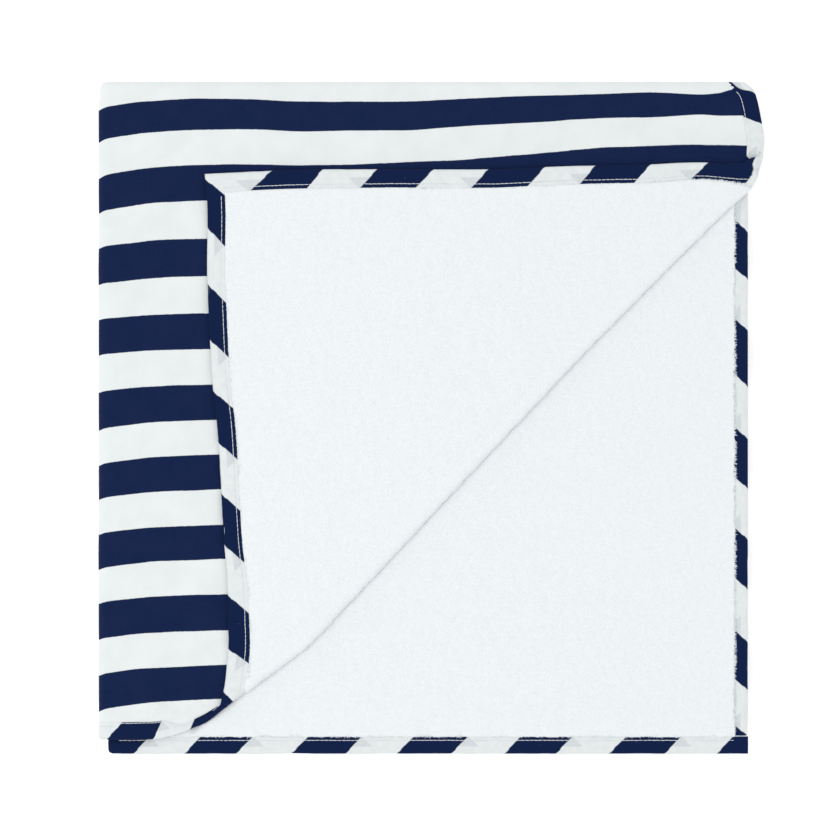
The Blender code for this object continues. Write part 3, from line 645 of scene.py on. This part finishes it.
def strip(name, place, stations, phase, kind="bias_binding", height=3.9, seed=0, flat=False):
    """place(s, e, d) -> (s', points): s' is where along the edge each point falls."""
    s = np.asarray(stations, float)
    S = np.repeat(s[:, None], len(PROFILE), 1)
    wob = 0.22 * noise(s, s * 0 + 7 * seed, 9, 40 + seed) + 0.18 * noise(s, s * 0, 31, 60 + seed)
    E = _pe[None, :] + wob[:, None] * (1 - _pe[None, :] / 14) + (0.14 * noise(s, s * 0 + 3, 4, 80 + seed))[:, None] * (_pe[None, :] > 10)
    puff = 0.10 * noise(S, E, 6, 50 + seed) + 0.08 * noise(S, E, 14, 51 + seed)
    D = np.repeat(_pd[None, :] * (height / 3.9), len(s), 0)
    D = np.where(_pd[None, :] > 1.95, D + puff * 1.5 * (_pe < 10), np.maximum(D + (puff + 0.12) * (_pe < 10) * (_pe > 1), 0))
    E = np.maximum(E, 0.0)
    S2, P = place(S, E, D)
    n = len(PROFILE)
    idx = np.arange(len(s) * n).reshape(len(s), n)
    nxt = np.roll(idx, -1, 1)
    f = np.stack([idx[:-1], idx[1:], nxt[1:], nxt[:-1]], -1).reshape(-1, 4)
    caps = [idx[0][None, ::-1].copy(), idx[-1][None, :].copy()]
    bias = np.stack([phase(S2), _signed[None, :] / PERIOD * (narrow(S) if seed == 1 else np.ones_like(S)), np.repeat(_side[None, :], len(s), 0)], -1)
    coords = np.stack([S2, np.where(_pd[None, :] <= 1.95, E, 40 - E), np.zeros_like(S2)], -1)
    # faces are built so that both caps and sides agree; add_mesh turns them outwards together
    caps = [caps[0], caps[1]]
    return add_mesh(name, P.reshape(-1, 3), [f, caps[0][:, ::-1], caps[1][:, ::-1]] if flat else [f] + caps, kind, {"bias": bias, "cloth": coords}, 50)


def stitches(name, place, lo, hi, faces=((3.72, -1), (0.24, 1)), e=9.6, pitch=3.1, length=3.2, r=0.27, seed=0, height=3.9):
    """A row of separate stitches on each face of the binding, from lo to hi along the edge."""
    rng = np.random.default_rng(seed + 5)
    parts, coords = [], []
    for depth, sign in faces:
        c = np.arange(lo + pitch, hi - pitch, pitch)
        c = c + rng.uniform(-0.12, 0.12, len(c))
        ee = e + 0.10 * noise(c, c * 0, 12, 90 + seed) + rng.uniform(-0.06, 0.06, len(c))
        half = length / 2 * rng.uniform(0.93, 1.06, len(c))
        dd = np.full(len(c), depth * height / 3.9)
        ends = [place(c - half, ee - 0.05, dd)[1], place(c + half, ee + 0.05, dd)[1]]
        up = place(c, ee, dd - sign * 0.3)[1] - place(c, ee, dd)[1]
        t = ends[1] - ends[0]
        tl = np.linalg.norm(t, axis=1, keepdims=True)
        good = (tl[:, 0] > length * 0.5) & (tl[:, 0] < length * 1.6)
        t = t / np.maximum(tl, 1e-9)
        up = up - (up * t).sum(1, keepdims=True) * t
        up /= np.maximum(np.linalg.norm(up, axis=1, keepdims=True), 1e-9)
        side = np.cross(t, up)
        for i, (k, rr, lift) in enumerate(((0.0, 0.40, -0.12), (0.12, 0.9, 0.04), (0.5, 1.0, 0.10), (0.88, 0.9, 0.04), (1.0, 0.40, -0.12))):
            mid = ends[0] * (1 - k) + ends[1] * k + up * lift
            ring = [mid + (up * math.sin(a) * 0.8 + side * math.cos(a)) * r * rr for a in np.arange(6) * PI / 3]
            parts.append((i, np.stack(ring, 1)[good]))
            coords.append(np.stack([np.repeat((c[good] + (k - .5) * length)[:, None], 6, 1), np.tile(np.arange(6.0), (good.sum(), 1)), np.zeros((good.sum(), 6))], -1))
    verts, faces_out, cc, base = [], [], [], 0
    for g in range(0, len(parts), 5):
        block = np.stack([p for _, p in parts[g:g + 5]], 1)        # stitch, ring, corner, xyz
        n = len(block)
        verts.append(block.reshape(-1, 3))
        cc.append(np.stack(coords[g:g + 5], 1).reshape(-1, 3))
        idx = base + np.arange(n * 30).reshape(n, 5, 6)
        nxt = np.roll(idx, -1, 2)
        faces_out.append(np.stack([idx[:, :-1], nxt[:, :-1], nxt[:, 1:], idx[:, 1:]], -1).reshape(-1, 4))
        faces_out.append(idx[:, 0, ::-1].copy())
        faces_out.append(idx[:, -1].copy())
        base += n * 30
    return add_mesh(name, np.concatenate(verts), faces_out, "thread", {"cloth": np.concatenate(cc)})


def narrow(x):
    """The bottom binding tilts on its way over the crease's lower end, and looks narrower from above."""
    return 1 - 0.56 * smooth((x + 190) / 16) * smooth((-133 - x) / 14) + 0.09 * smooth((x + 130) / 20)


def wide(q):
    """The turned corner's upper binding is a little wider."""
    return 1 + 0.09 * smooth((168 - q) / 20)


def at_bottom(s, e, d):
    """Bottom edge of the front sheet's cut, from the side fold to the corner's tip."""
    x = np.minimum(s, TIP[0] - 1.09 * e)
    g = (bottom_edge(x + 0.5) - bottom_edge(x - 0.5))
    k = 1 / np.sqrt(1 + g * g)
    en = e * narrow(x)
    fx, fq = x - en * g * k * 0.8, bottom_edge(x) + en * (0.2 + 0.8 * k)
    p = front(fx, fq, d)
    # on the turned corner the printed stripes are placed by height on the folded towel
    t = smooth((in_fold(fx, fq) - ARC * 0.8) / 8)
    return x + (np.interp(p[..., 1], LEFT_Y, LEFT_X) - x) * t, p


def at_right(s, e, d):
    """Right edge of the front sheet's cut, from the corner's tip over the top fold to the inner layer."""
    q = np.maximum(s, TIP[1] + 1.09 * e)
    g = (right_edge(q + 0.5) - right_edge(q - 0.5))
    k = 1 / np.sqrt(1 + g * g)
    en = e * wide(q)
    fx, fq = right_edge(q) - en * (0.2 + 0.8 * k), q + en * g * k * 0.8
    p = front(fx, fq, d)
    t = smooth((in_fold(fx, fq) - ARC * 0.8) / 8)
    return q + (np.interp(p[..., 0], TOP_X, TOP_Q) - q) * t, p


def at_inner_hem(s, e, d):
    """Bottom edge of the inner front layer; s runs to the left."""
    y = Q_FRONT_END - e
    return s, front(-s, y + 0 * s, d)


def at_back_right(s, e, d):
    return s, back(RIGHT_BACK - e, s, d)


def at_back_outer(s, e, d):
    return s, back(s, -229.0 + e, d)


def at_back_inner(s, e, d):
    return s, back(-s, Q_BACK_END - e, d)


def wrap_bottom(t):
    return -229.0 + 1.3 * smooth(t / T_END)


def at_wrap(s, e, d):
    return s, wrap(s, wrap_bottom(s) + e, d)


def at_inner_wrap(s, e, d):
    return s, inner_wrap(s, -237.0 - 1.0 * smooth(s / PI) + e, d)


def knots(points):
    xs, ys = np.array([p[0] for p in points], float), np.array([p[1] for p in points], float)

    def f(s):
        s = np.asarray(s, float)
        v = np.interp(s, xs, ys)
        return v + np.minimum(s - xs[0], 0) / PERIOD + np.maximum(s - xs[-1], 0) / PERIOD
    return f


def flap_left_x(y):
    """Flat x of the corner's left edge at height y on the folded towel."""
    fx = curve(sorted((p[1], p[0]) for p in FLAP_LEFT))
    return float(unfold(float(fx(y)), y)[0])


def flap_top_q(x):
    fy = curve(FLAP_TOP)
    return float(unfold(x, float(fy(x)))[1])


# where the bias strip's stripes fall: each half is one stripe edge
phase_bottom = knots([(-229.7, 0), (-197.7, .5), (-171.5, 1.0), (-133.5, 1.5)] + [(flap_left_x(y), k) for y, k in
                     ((-162.9, 2.0), (-124.4, 2.5), (-89.1, 3.0), (-52.6, 3.5), (-16.7, 4.0), (19.8, 4.5), (55.9, 5.0), (95.5, 5.5), (135.3, 6.0), (170.0, 6.5))])
phase_right = knots([(TIP[1], -0.49)] + sorted([(flap_top_q(x), k) for x, k in
                    ((-112.8, 0), (-76.6, .5), (-38.3, 1), (1.8, 1.5), (40.5, 2), (80.9, 2.5), (116.1, 3), (155.8, 3.5), (196.2, 4), (228.5, 4.5))])
                    + [(208.4, 5.0), (230.0, 5.5)] + [(Q_L2 + Y_ROLL - y, k) for y, k in
                    ((131.7, 7.0), (98.3, 7.5), (62.1, 8.0), (21.7, 8.5), (-15.1, 9.0), (-50.4, 9.5), (-86.3, 10.0), (-121.8, 10.5), (-159.4, 11.0), (-193.2, 11.5), (-225.5, 12.0))])
phase_hem = knots([(-224.7, .19), (-202.0, .5), (-165.1, 1), (-125.3, 1.5), (-87.7, 2), (-51.3, 2.5), (-13.8, 3), (25.2, 3.5), (61.4, 4),
                   (99.8, 4.5), (139.5, 5), (175.7, 5.5), (211.9, 6), (228.3, 6.22)])


LEFT_Y = np.arange(-200.0, 174.0, 4.0)
LEFT_X = np.array([flap_left_x(v) for v in LEFT_Y])
TOP_X = np.arange(-161.0, 231.0, 4.0)
TOP_Q = np.array([flap_top_q(v) for v in TOP_X])


def phase_plain(offset):
    return lambda s: np.asarray(s, float) / PERIOD + offset


def build_bindings():
    out = {}
    n = int(463 / STEP)
    o = strip("front_bottom_binding", at_bottom, np.linspace(JOIN, TIP[0] - 0.05, n), phase_bottom, seed=1)
    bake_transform(o)
    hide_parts("front_outer_hem_binding", "corner_left_binding")
    out["bottom"] = o
    stations = np.concatenate([np.arange(TIP[1] + 0.05, 150, STEP), np.arange(150, 262, 0.8), np.arange(262, Q_FRONT_END - 12.4, STEP)])
    o = strip("front_right_binding", at_right, stations, phase_right, seed=2)
    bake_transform(o)
    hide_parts("front_side_binding", "corner_upper_binding")
    out["right"] = o
    o = strip("front_hem_binding", lambda s, e, d: at_inner_hem(s, e, d + 0.12 * smooth((-s - 205) / 8)), np.linspace(-RIGHT_L2, -INNER_LEFT, n), phase_hem, seed=3)
    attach(o, "front_half")
    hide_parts("front_inner_hem_binding")
    out["hem"] = o
    stations = np.concatenate([np.arange(-229 + 12.4, 226, 2), np.arange(226, 256, 0.8), np.arange(256, Q_BACK_END - 12.4, 2)])
    o = strip("back_right_binding", at_back_right, stations, phase_plain(0.3), seed=4)
    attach(o, "back_half")
    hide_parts("back_side_binding")
    out["back_right"] = o
    o = strip("back_outer_binding", at_back_outer, np.linspace(JOIN, RIGHT_BACK, 220), phase_plain(0.1), seed=5)
    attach(o, "back_half")
    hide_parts("back_outer_hem_binding")
    out["back_outer"] = o
    o = strip("back_inner_binding", at_back_inner, np.linspace(-RIGHT_BACK, -INNER_LEFT, 220), phase_plain(0.42), seed=6)
    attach(o, "back_half")
    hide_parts("back_inner_hem_binding")
    out["back_inner"] = o
    # round the side fold, in two halves
    start = phase_bottom(JOIN)
    phase_wrap = lambda t: start - (T_END - np.asarray(t, float)) / PERIOD
    o = strip("side_lower_binding", at_wrap, np.linspace(0, T_MID, 26), phase_wrap, seed=7)
    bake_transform(o)
    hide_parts("side_fold_binding")
    out["wrap_low"] = o
    o = strip("side_upper_binding", at_wrap, np.linspace(T_MID, T_END, 26), phase_wrap, seed=7)
    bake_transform(o)
    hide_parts("side_fold_binding")
    out["wrap_high"] = o
    phase_in = lambda t: 6.22 + 0.19 * (PI - np.asarray(t, float)) / PI * 2
    o = strip("inner_lower_binding", at_inner_wrap, np.linspace(0, PI / 2, 9), phase_in, seed=8)
    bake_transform(o)
    out["inner_low"] = o
    o = strip("inner_upper_binding", at_inner_wrap, np.linspace(PI / 2, PI, 9), phase_in, seed=8)
    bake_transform(o)
    out["inner_high"] = o
    return out


def build_stitches():
    u, n = to_un(np.linspace(JOIN, TIP[0], 2000), bottom_edge(np.linspace(JOIN, TIP[0], 2000)))
    past = np.linspace(JOIN, TIP[0], 2000)[np.argmax(n - fold_start(u) > 0)]
    qs = np.linspace(150, 200, 500)
    u, n = to_un(right_edge(qs), qs)
    above = qs[np.nonzero(n - fold_start(u) > -1)[0][-1]]
    below = qs[np.nonzero(n - fold_start(u) > ARC + 1)[0][-1]]
    out = {}
    o = stitches("front_bottom_stitching", at_bottom, JOIN, past - 4, faces=((3.93, -1), (0.05, 1)), e=11.7, r=0.22, seed=1)
    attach(o, "front_half")
    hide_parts("front_outer_hem_stitching")
    out["bottom"] = o
    o = stitches("corner_left_stitching_row", at_bottom, past + 14, TIP[0] - 12.5, seed=2)
    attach(o, "turned_corner")
    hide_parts("corner_left_stitching")
    out["left"] = o
    o = stitches("corner_upper_stitching_row", at_right, TIP[1] + 11.5, below - 6, seed=3)
    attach(o, "turned_corner")
    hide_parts("corner_upper_stitching")
    out["upper"] = o
    o = stitches("front_right_stitching", at_right, above + 8, Q_FRONT_END - 13, faces=((3.93, -1), (0.05, 1)), e=11.1, r=0.24, seed=4)
    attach(o, "front_half")
    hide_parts("front_side_stitching")
    out["right"] = o
    o = stitches("front_hem_stitching", at_inner_hem, -RIGHT_L2 + 8, -INNER_LEFT, seed=5)
    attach(o, "front_half")
    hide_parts("front_inner_hem_stitching")
    out["hem"] = o
    o = stitches("back_right_stitching", at_back_right, -216, Q_BACK_END - 13, seed=6)
    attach(o, "back_half")
    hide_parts("back_side_stitching")
    out["back_right"] = o
    o = stitches("back_outer_stitching", at_back_outer, JOIN, RIGHT_BACK - 12, seed=7)
    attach(o, "back_half")
    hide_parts("back_outer_hem_stitching")
    out["back_outer"] = o
    o = stitches("back_inner_stitching", at_back_inner, -RIGHT_BACK + 12, -INNER_LEFT, seed=8)
    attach(o, "back_half")
    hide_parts("back_inner_hem_stitching")
    out["back_inner"] = o
    o = stitches("side_lower_stitching", at_wrap, -1, T_MID + 1, seed=9)
    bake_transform(o)
    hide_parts("side_fold_stitching")
    out["wrap_low"] = o
    o = stitches("side_upper_stitching", at_wrap, T_MID - 1, T_END + 1, seed=10)
    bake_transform(o)
    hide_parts("side_fold_stitching")
    out["wrap_high"] = o
    return out


# ------------------------------------------------------------------ back half, side fold and hood
def build_back_sheets():
    out = []
    for name, kind, top_d, low_d, node, seed in (("back_cotton", "striped_cotton", 0.0, 0.8, "back_shell", 3), ("back_terry", "terry", 1.1, 4.3, "back_lining", 4)):
        nq, nx = 330, 160
        q0, q1 = -229 + 0.9, Q_BACK_END - 0.9
        flat_q = np.unique(np.concatenate([np.linspace(q0, q1, nq), np.linspace(Y_BACK, Q_L3, 24)]))
        q, xi = np.meshgrid(flat_q, np.linspace(0, 1, nx), indexing="ij")
        left = JOIN + (INNER_LEFT - JOIN) * smooth((q - Y_BACK) / (PI * R_BACK))
        x = left + xi * (RIGHT_BACK - 0.9 - left)
        e = np.minimum(np.minimum(q + 229, Q_BACK_END - q), RIGHT_BACK - x)
        dip = smooth((13.6 - e) / 1.6)
        if kind == "terry":
            pile = 0.14 * noise(x, q, 3.1, 71) + 0.1 * noise(x, q, 6, 72)
            a, b = back(x, q, top_d + 0.5 * dip), back(x, q, low_d + pile - 1.1 * dip)
        else:
            soft = 0.08 * (1 + noise(x, q, 50, 73)) * (1 - dip) * (q > Q_L3)
            a, b = back(x, q, top_d + 0.68 * dip + soft), back(x, q, low_d + 0.62 * dip + soft)
        coords = cloth_coords(x, 226.8 - q if kind == "striped_cotton" else q, seed)
        o = closed_sheet(name, a, b, coords, kind)
        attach(o, "back_half")
        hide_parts(node)
        out.append((o, flat_area(x, q)))
    return out


def build_wraps():
    out = []
    for part, (t0, t1), bodies, ends in (("lower", (0, T_MID), ("back_half", "side_fold"), (S_LOW, MID)), ("upper", (T_MID, T_END), ("side_fold", "front_half"), (MID, S_HIGH))):
        for name, kind, d0, d1, node, seed in (("side_%s_cotton", "striped_cotton", 0.0, 0.8, "side_fold_shell", 5), ("side_%s_terry", "terry", 1.1, 4.3, "side_fold_lining", 6)):
            tq = np.concatenate([np.arange(0, 1.0, 1 / 230) * (231 + 228.1) - 228.1, np.linspace(231.3, 246, 22)])
            q, t = np.meshgrid(tq, np.linspace(t0, t1, 22), indexing="ij")
            q = np.maximum(q, wrap_bottom(t) + 0.9 - 0 * q)
            q = wrap_bottom(t) + 0.9 + (q - tq[0])
            e = q - wrap_bottom(t)
            dip = smooth((13.6 - e) / 1.6)
            soft = 0.25 * (1 + noise(t * 2, q, 34, 75)) * (1 - dip) * smooth(t / 6) * smooth((T_END - t) / 6) * (q < 225)
            if kind == "terry":
                a, b = wrap(t, q, d0 + 0.5 * dip + soft), wrap(t, q, d1 - 1.1 * dip + soft * 0.5)
                coords = cloth_coords(t, q, seed)
            else:
                a, b = wrap(t, q, d0 + 0.68 * dip + soft), wrap(t, q, d1 + 0.62 * dip + soft)
                xe = np.interp(t, _tt, _sx)
                up = smooth((t - T_MID * 0.2) / T_MID)
                b_front, b_back = band(np.where(t > T_MID, xe, LEFT), q), 226.8 - q
                coords = cloth_coords(t + JOIN - T_END, b_back * (1 - up) + b_front * up, seed)
            o = closed_sheet(name % part, a, b, coords, kind)
            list(bodies)
            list(ends)
            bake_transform(o)
            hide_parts(node)
            out.append((o, flat_area(t, q)))
    # the inner side fold: terry rounds it, and the cotton inside bridges it
    for part, (t0, t1), bodies, (z0, z1), node in (("lower", (0, PI / 2), ("back_half", "side_fold"), (0.01232, 0.01243), "back_inner_fold_lining"),
                                                    ("upper", (PI / 2, PI), ("side_fold", "front_half"), (0.01247, 0.01258), "front_inner_fold_lining")):
        q, t = np.meshgrid(np.linspace(-236.5, 231, 180), np.linspace(t0, t1, 9), indexing="ij")
        pile = 0.12 * noise(t * 6, q, 3, 76)
        e = q + 237.5
        dip = smooth((13.6 - e) / 1.6)
        o = closed_sheet("inner_%s_terry" % part, inner_wrap(t, q, 4.3 + pile - 1.1 * dip), inner_wrap(t, q, 1.1 + 0.5 * dip), cloth_coords(t * 4, q, 7), "terry")
        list(bodies)
        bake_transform(o)
        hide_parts(node)
        out.append((o, 7.0e-3 * 0.4675))
        q, t = np.meshgrid(np.linspace(-236.5, 231, 180), np.linspace(t0, t1, 3), indexing="ij")
        bx = q - 256.2 - 3.6 * t / PI
        o = closed_sheet("inner_%s_cotton" % part, inner_wrap(t, q, 0.0 + 0.68 * smooth((13.6 - (q + 237.5)) / 1.6)), inner_wrap(t, q, 0.8 + 0.6 * smooth((13.6 - (q + 237.5)) / 1.6)),
                         cloth_coords(t * 12, bx, 8), "striped_cotton")
        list(bodies)
        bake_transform(o)
        out.append((o, None))
    return out


def build_hood():
    corner = np.array([RIGHT_BACK - 14.4, -229.0 + 14.4])
    leg = 245.0
    a, b = corner + [-leg, 0], corner + [0, leg]
    along = (b - a) / np.linalg.norm(b - a)
    inward = np.array([along[1], -along[0]])
    height = float((corner - a) @ inward)
    length = float(np.linalg.norm(b - a))
    out = []
    h, k = np.meshgrid(np.linspace(1.2, height - 1.0, 90), np.linspace(0, 1, 160), indexing="ij")
    s = h + k * (length - 2 * h)
    x, y = a[0] + along[0] * s + inward[0] * h, a[1] + along[1] * s + inward[1] * h
    dip = smooth((14.0 - h) / 1.6)
    low = 0.10 * noise(x, y, 3.2, 81)
    o = closed_sheet("hood_terry", np.stack([x, y, 6.6 - 0.5 * dip + 0 * x], -1), np.stack([x, y, 4.6 + low * 0.5 + 0.7 * dip], -1), cloth_coords(x, y, 9), "terry")
    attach(o, "back_half")
    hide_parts("hood_lining")
    out.append((o, flat_area(s, h)))
    soft = 0.06 * noise(x, y, 40, 82)
    o = closed_sheet("hood_cotton", np.stack([x, y, 7.65 - 0.65 * dip + soft], -1), np.stack([x, y, 6.9 - 0.6 * dip + soft], -1), cloth_coords(x, 226.8 - y, 10), "striped_cotton")
    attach(o, "back_half")
    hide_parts("hood_shell")
    out.append((o, flat_area(s, h)))

    def at_hood(s, e, d):
        p = a[None, :] if s.ndim == 1 else a[None, None, :]
        xy = p + along * s[..., None] + inward * e[..., None]
        return s, np.concatenate([xy, (7.7 - d)[..., None]], -1)
    o = strip("hood_edge_binding", at_hood, np.linspace(BIND_W, length - BIND_W, 240), phase_plain(0.2), height=3.1, seed=9)
    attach(o, "back_half")
    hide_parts("hood_binding")
    out.append(o)
    o = stitches("hood_edge_stitching", at_hood, BIND_W, length - BIND_W, seed=12, height=3.1)
    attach(o, "back_half")
    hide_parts("hood_stitching")
    out.append(o)
    return out


# ------------------------------------------------------------------ loose loops of the pile
def ribbons(name, paths, width, body, coords):
    """paths is (n, k, 3): each a flat ribbon of loop pile, k points long, closed as a thin prism."""
    n, k = paths.shape[:2]
    t = np.gradient(paths, axis=1)
    t /= np.maximum(np.linalg.norm(t, axis=2, keepdims=True), 1e-9)
    rng = np.random.default_rng(99)
    ref = rng.normal(size=(n, 1, 3))
    side = np.cross(t, np.broadcast_to(ref, t.shape))
    side /= np.maximum(np.linalg.norm(side, axis=2, keepdims=True), 1e-9)
    up = np.cross(side, t)
    w = width * np.linspace(1.0, 0.75, k)[None, :, None]
    ring = [paths + (side * math.cos(a) + up * math.sin(a)) * w for a in (0.0, 2 * PI / 3, 4 * PI / 3)]
    v = np.stack(ring, 2)                                   # n, k, 3, xyz
    idx = np.arange(n * k * 3).reshape(n, k, 3)
    nxt = np.roll(idx, -1, 2)
    f = np.stack([idx[:, :-1], nxt[:, :-1], nxt[:, 1:], idx[:, 1:]], -1).reshape(-1, 4)
    caps = [idx[:, 0, ::-1].copy(), idx[:, -1].copy()]
    cc = np.repeat(coords[:, None, :], k * 3, 1).reshape(-1, 3)
    o = add_mesh(name, v.reshape(-1, 3), [f] + caps, "terry", {"cloth": cc}, 40)
    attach(o, body)
    return o


def loops_on(name, x, q, body, seed, base=4.35, lean=None, tall=(0.45, 0.95), span=(0.6, 1.3), width=0.20, k=5):
    rng = np.random.default_rng(seed)
    n = len(x)
    a = rng.uniform(0, 2 * PI, n) if lean is None else lean + rng.normal(0, 0.6, n)
    s = rng.uniform(*span, n)
    h = rng.uniform(*tall, n)
    pts = []
    for j in range(k):
        t = j / (k - 1)
        off = s * (t - 0.5)
        pts.append(front(x + np.cos(a) * off, q + np.sin(a) * off, base + h * math.sin(PI * (0.08 + 0.84 * t)) - 0.25))
    return ribbons(name, np.stack(pts, 1), width, body, np.stack([x, q, np.full(n, 2.0)], -1))


def build_loops():
    rng = np.random.default_rng(7)
    out = {}
    # tufts that lean over the binding's inner edge
    n = 1500
    y = rng.uniform(-224, 172, n)
    x1, q1 = RIGHT_L2 - rng.uniform(8.9, 10.7, n), Q_L2 + Y_ROLL - y
    x2, q2 = rng.uniform(-205, 212, n // 3), Q_FRONT_END - rng.uniform(12.2, 13.0, n // 3)
    lean = np.concatenate([np.zeros(n), np.full(n // 3, PI / 2)])
    out["edge"] = loops_on("inner_terry_tufts", np.concatenate([x1, x2]), np.concatenate([q1, q2]), "front_half", 3, base=4.3, lean=lean, tall=(0.1, 0.35), span=(1.2, 3.0), width=0.2)
    xb = rng.uniform(-120, TIP[0] - 15, n // 2)
    tb = bottom_edge(xb) + rng.uniform(13.6, 14.3, n // 2)
    qr = rng.uniform(TIP[1] + 15, 166, n // 2)
    xr = right_edge(qr) - rng.uniform(13.6, 14.3, n // 2)
    q3 = rng.uniform(95, 164, n // 6)
    x3 = right_edge(q3) - rng.uniform(12.7, 14.2, n // 6)
    lean = np.concatenate([rng.uniform(0, 2 * PI, n // 2), rng.uniform(0, 2 * PI, n // 2), rng.normal(0, 0.5, n // 6)])
    out["flap_edge"] = loops_on("corner_terry_tufts", np.concatenate([xb, xr, x3]), np.concatenate([tb, qr, q3]), "turned_corner", 4, base=4.25, lean=lean, tall=(0.1, 0.4), span=(0.9, 2.0), width=0.24)
    return out


# ------------------------------------------------------------------ build it all
shell, lining, shell_area, lining_area = build_front_sheets()
bind = build_bindings()
sew = build_stitches()
back_sheets = build_back_sheets()
wraps = build_wraps()
hood = build_hood()
loops = build_loops()

for o, area in wraps:
    if area is None:
        continue
    if "inner" in o.name:
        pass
    else:
        min(area, 0.0215 * 0.474)
for o, area in hood[:2]:
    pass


# ------------------------------------------------------------------ floor, light and camera
def stage():
    bpy.ops.mesh.primitive_plane_add(size=8, location=(0, 0, -0.0004))
    floor = bpy.context.object
    floor.name = "floor"
    m = bpy.data.materials.new("floor")
    m.use_nodes = True
    b = m.node_tree.nodes["Principled BSDF"]
    b.inputs["Base Color"].default_value = (0.93, 0.93, 0.93, 1)
    b.inputs["Roughness"].default_value = 0.9
    b.inputs["Specular IOR Level"].default_value = 0.0
    b.inputs["Emission Color"].default_value = (1, 1, 1, 1)     # a light table
    b.inputs["Emission Strength"].default_value = 0.30
    floor.data.materials.append(m)
    world = bpy.data.worlds.new("soft") if bpy.context.scene.world is None else bpy.context.scene.world
    bpy.context.scene.world = world
    world.use_nodes = True
    bg = next(n for n in world.node_tree.nodes if n.type == "BACKGROUND")
    bg.inputs[0].default_value = (0.995, 0.995, 1.0, 1)
    bg.inputs[1].default_value = 0.95
    for name, where, size, power in (("key", (-1.1, -0.05, 1.7), 1.3, 9.5), ("fill", (1.3, -0.6, 1.8), 1.8, 4.5)):
        lamp = bpy.data.lights.new(name, "AREA")
        lamp.shape, lamp.size, lamp.energy = "DISK", size, power
        o = bpy.data.objects.new(name, lamp)
        bpy.context.scene.collection.objects.link(o)
        o.location = where
        from_v = -o.location
        o.rotation_mode = "QUATERNION"
        o.rotation_quaternion = from_v.to_track_quat("-Z", "Y")
    cam = bpy.data.cameras.new("camera")
    cam.sensor_width = 36
    cam.clip_start, cam.clip_end = 0.05, 50
    o = bpy.data.objects.new("camera", cam)
    bpy.context.scene.collection.objects.link(o)
    top = 0.021
    far = 3.0
    cam.lens = 36 * far / 0.5952
    o.location = (-0.00817, -0.00103, top + far)
    bpy.context.scene.camera = o
    vs = bpy.context.scene.view_settings
    vs.view_transform = "Standard"
    vs.look = "None"
    vs.exposure, vs.gamma = 0.0, 1.0


stage()
bpy.context.view_layer.update()
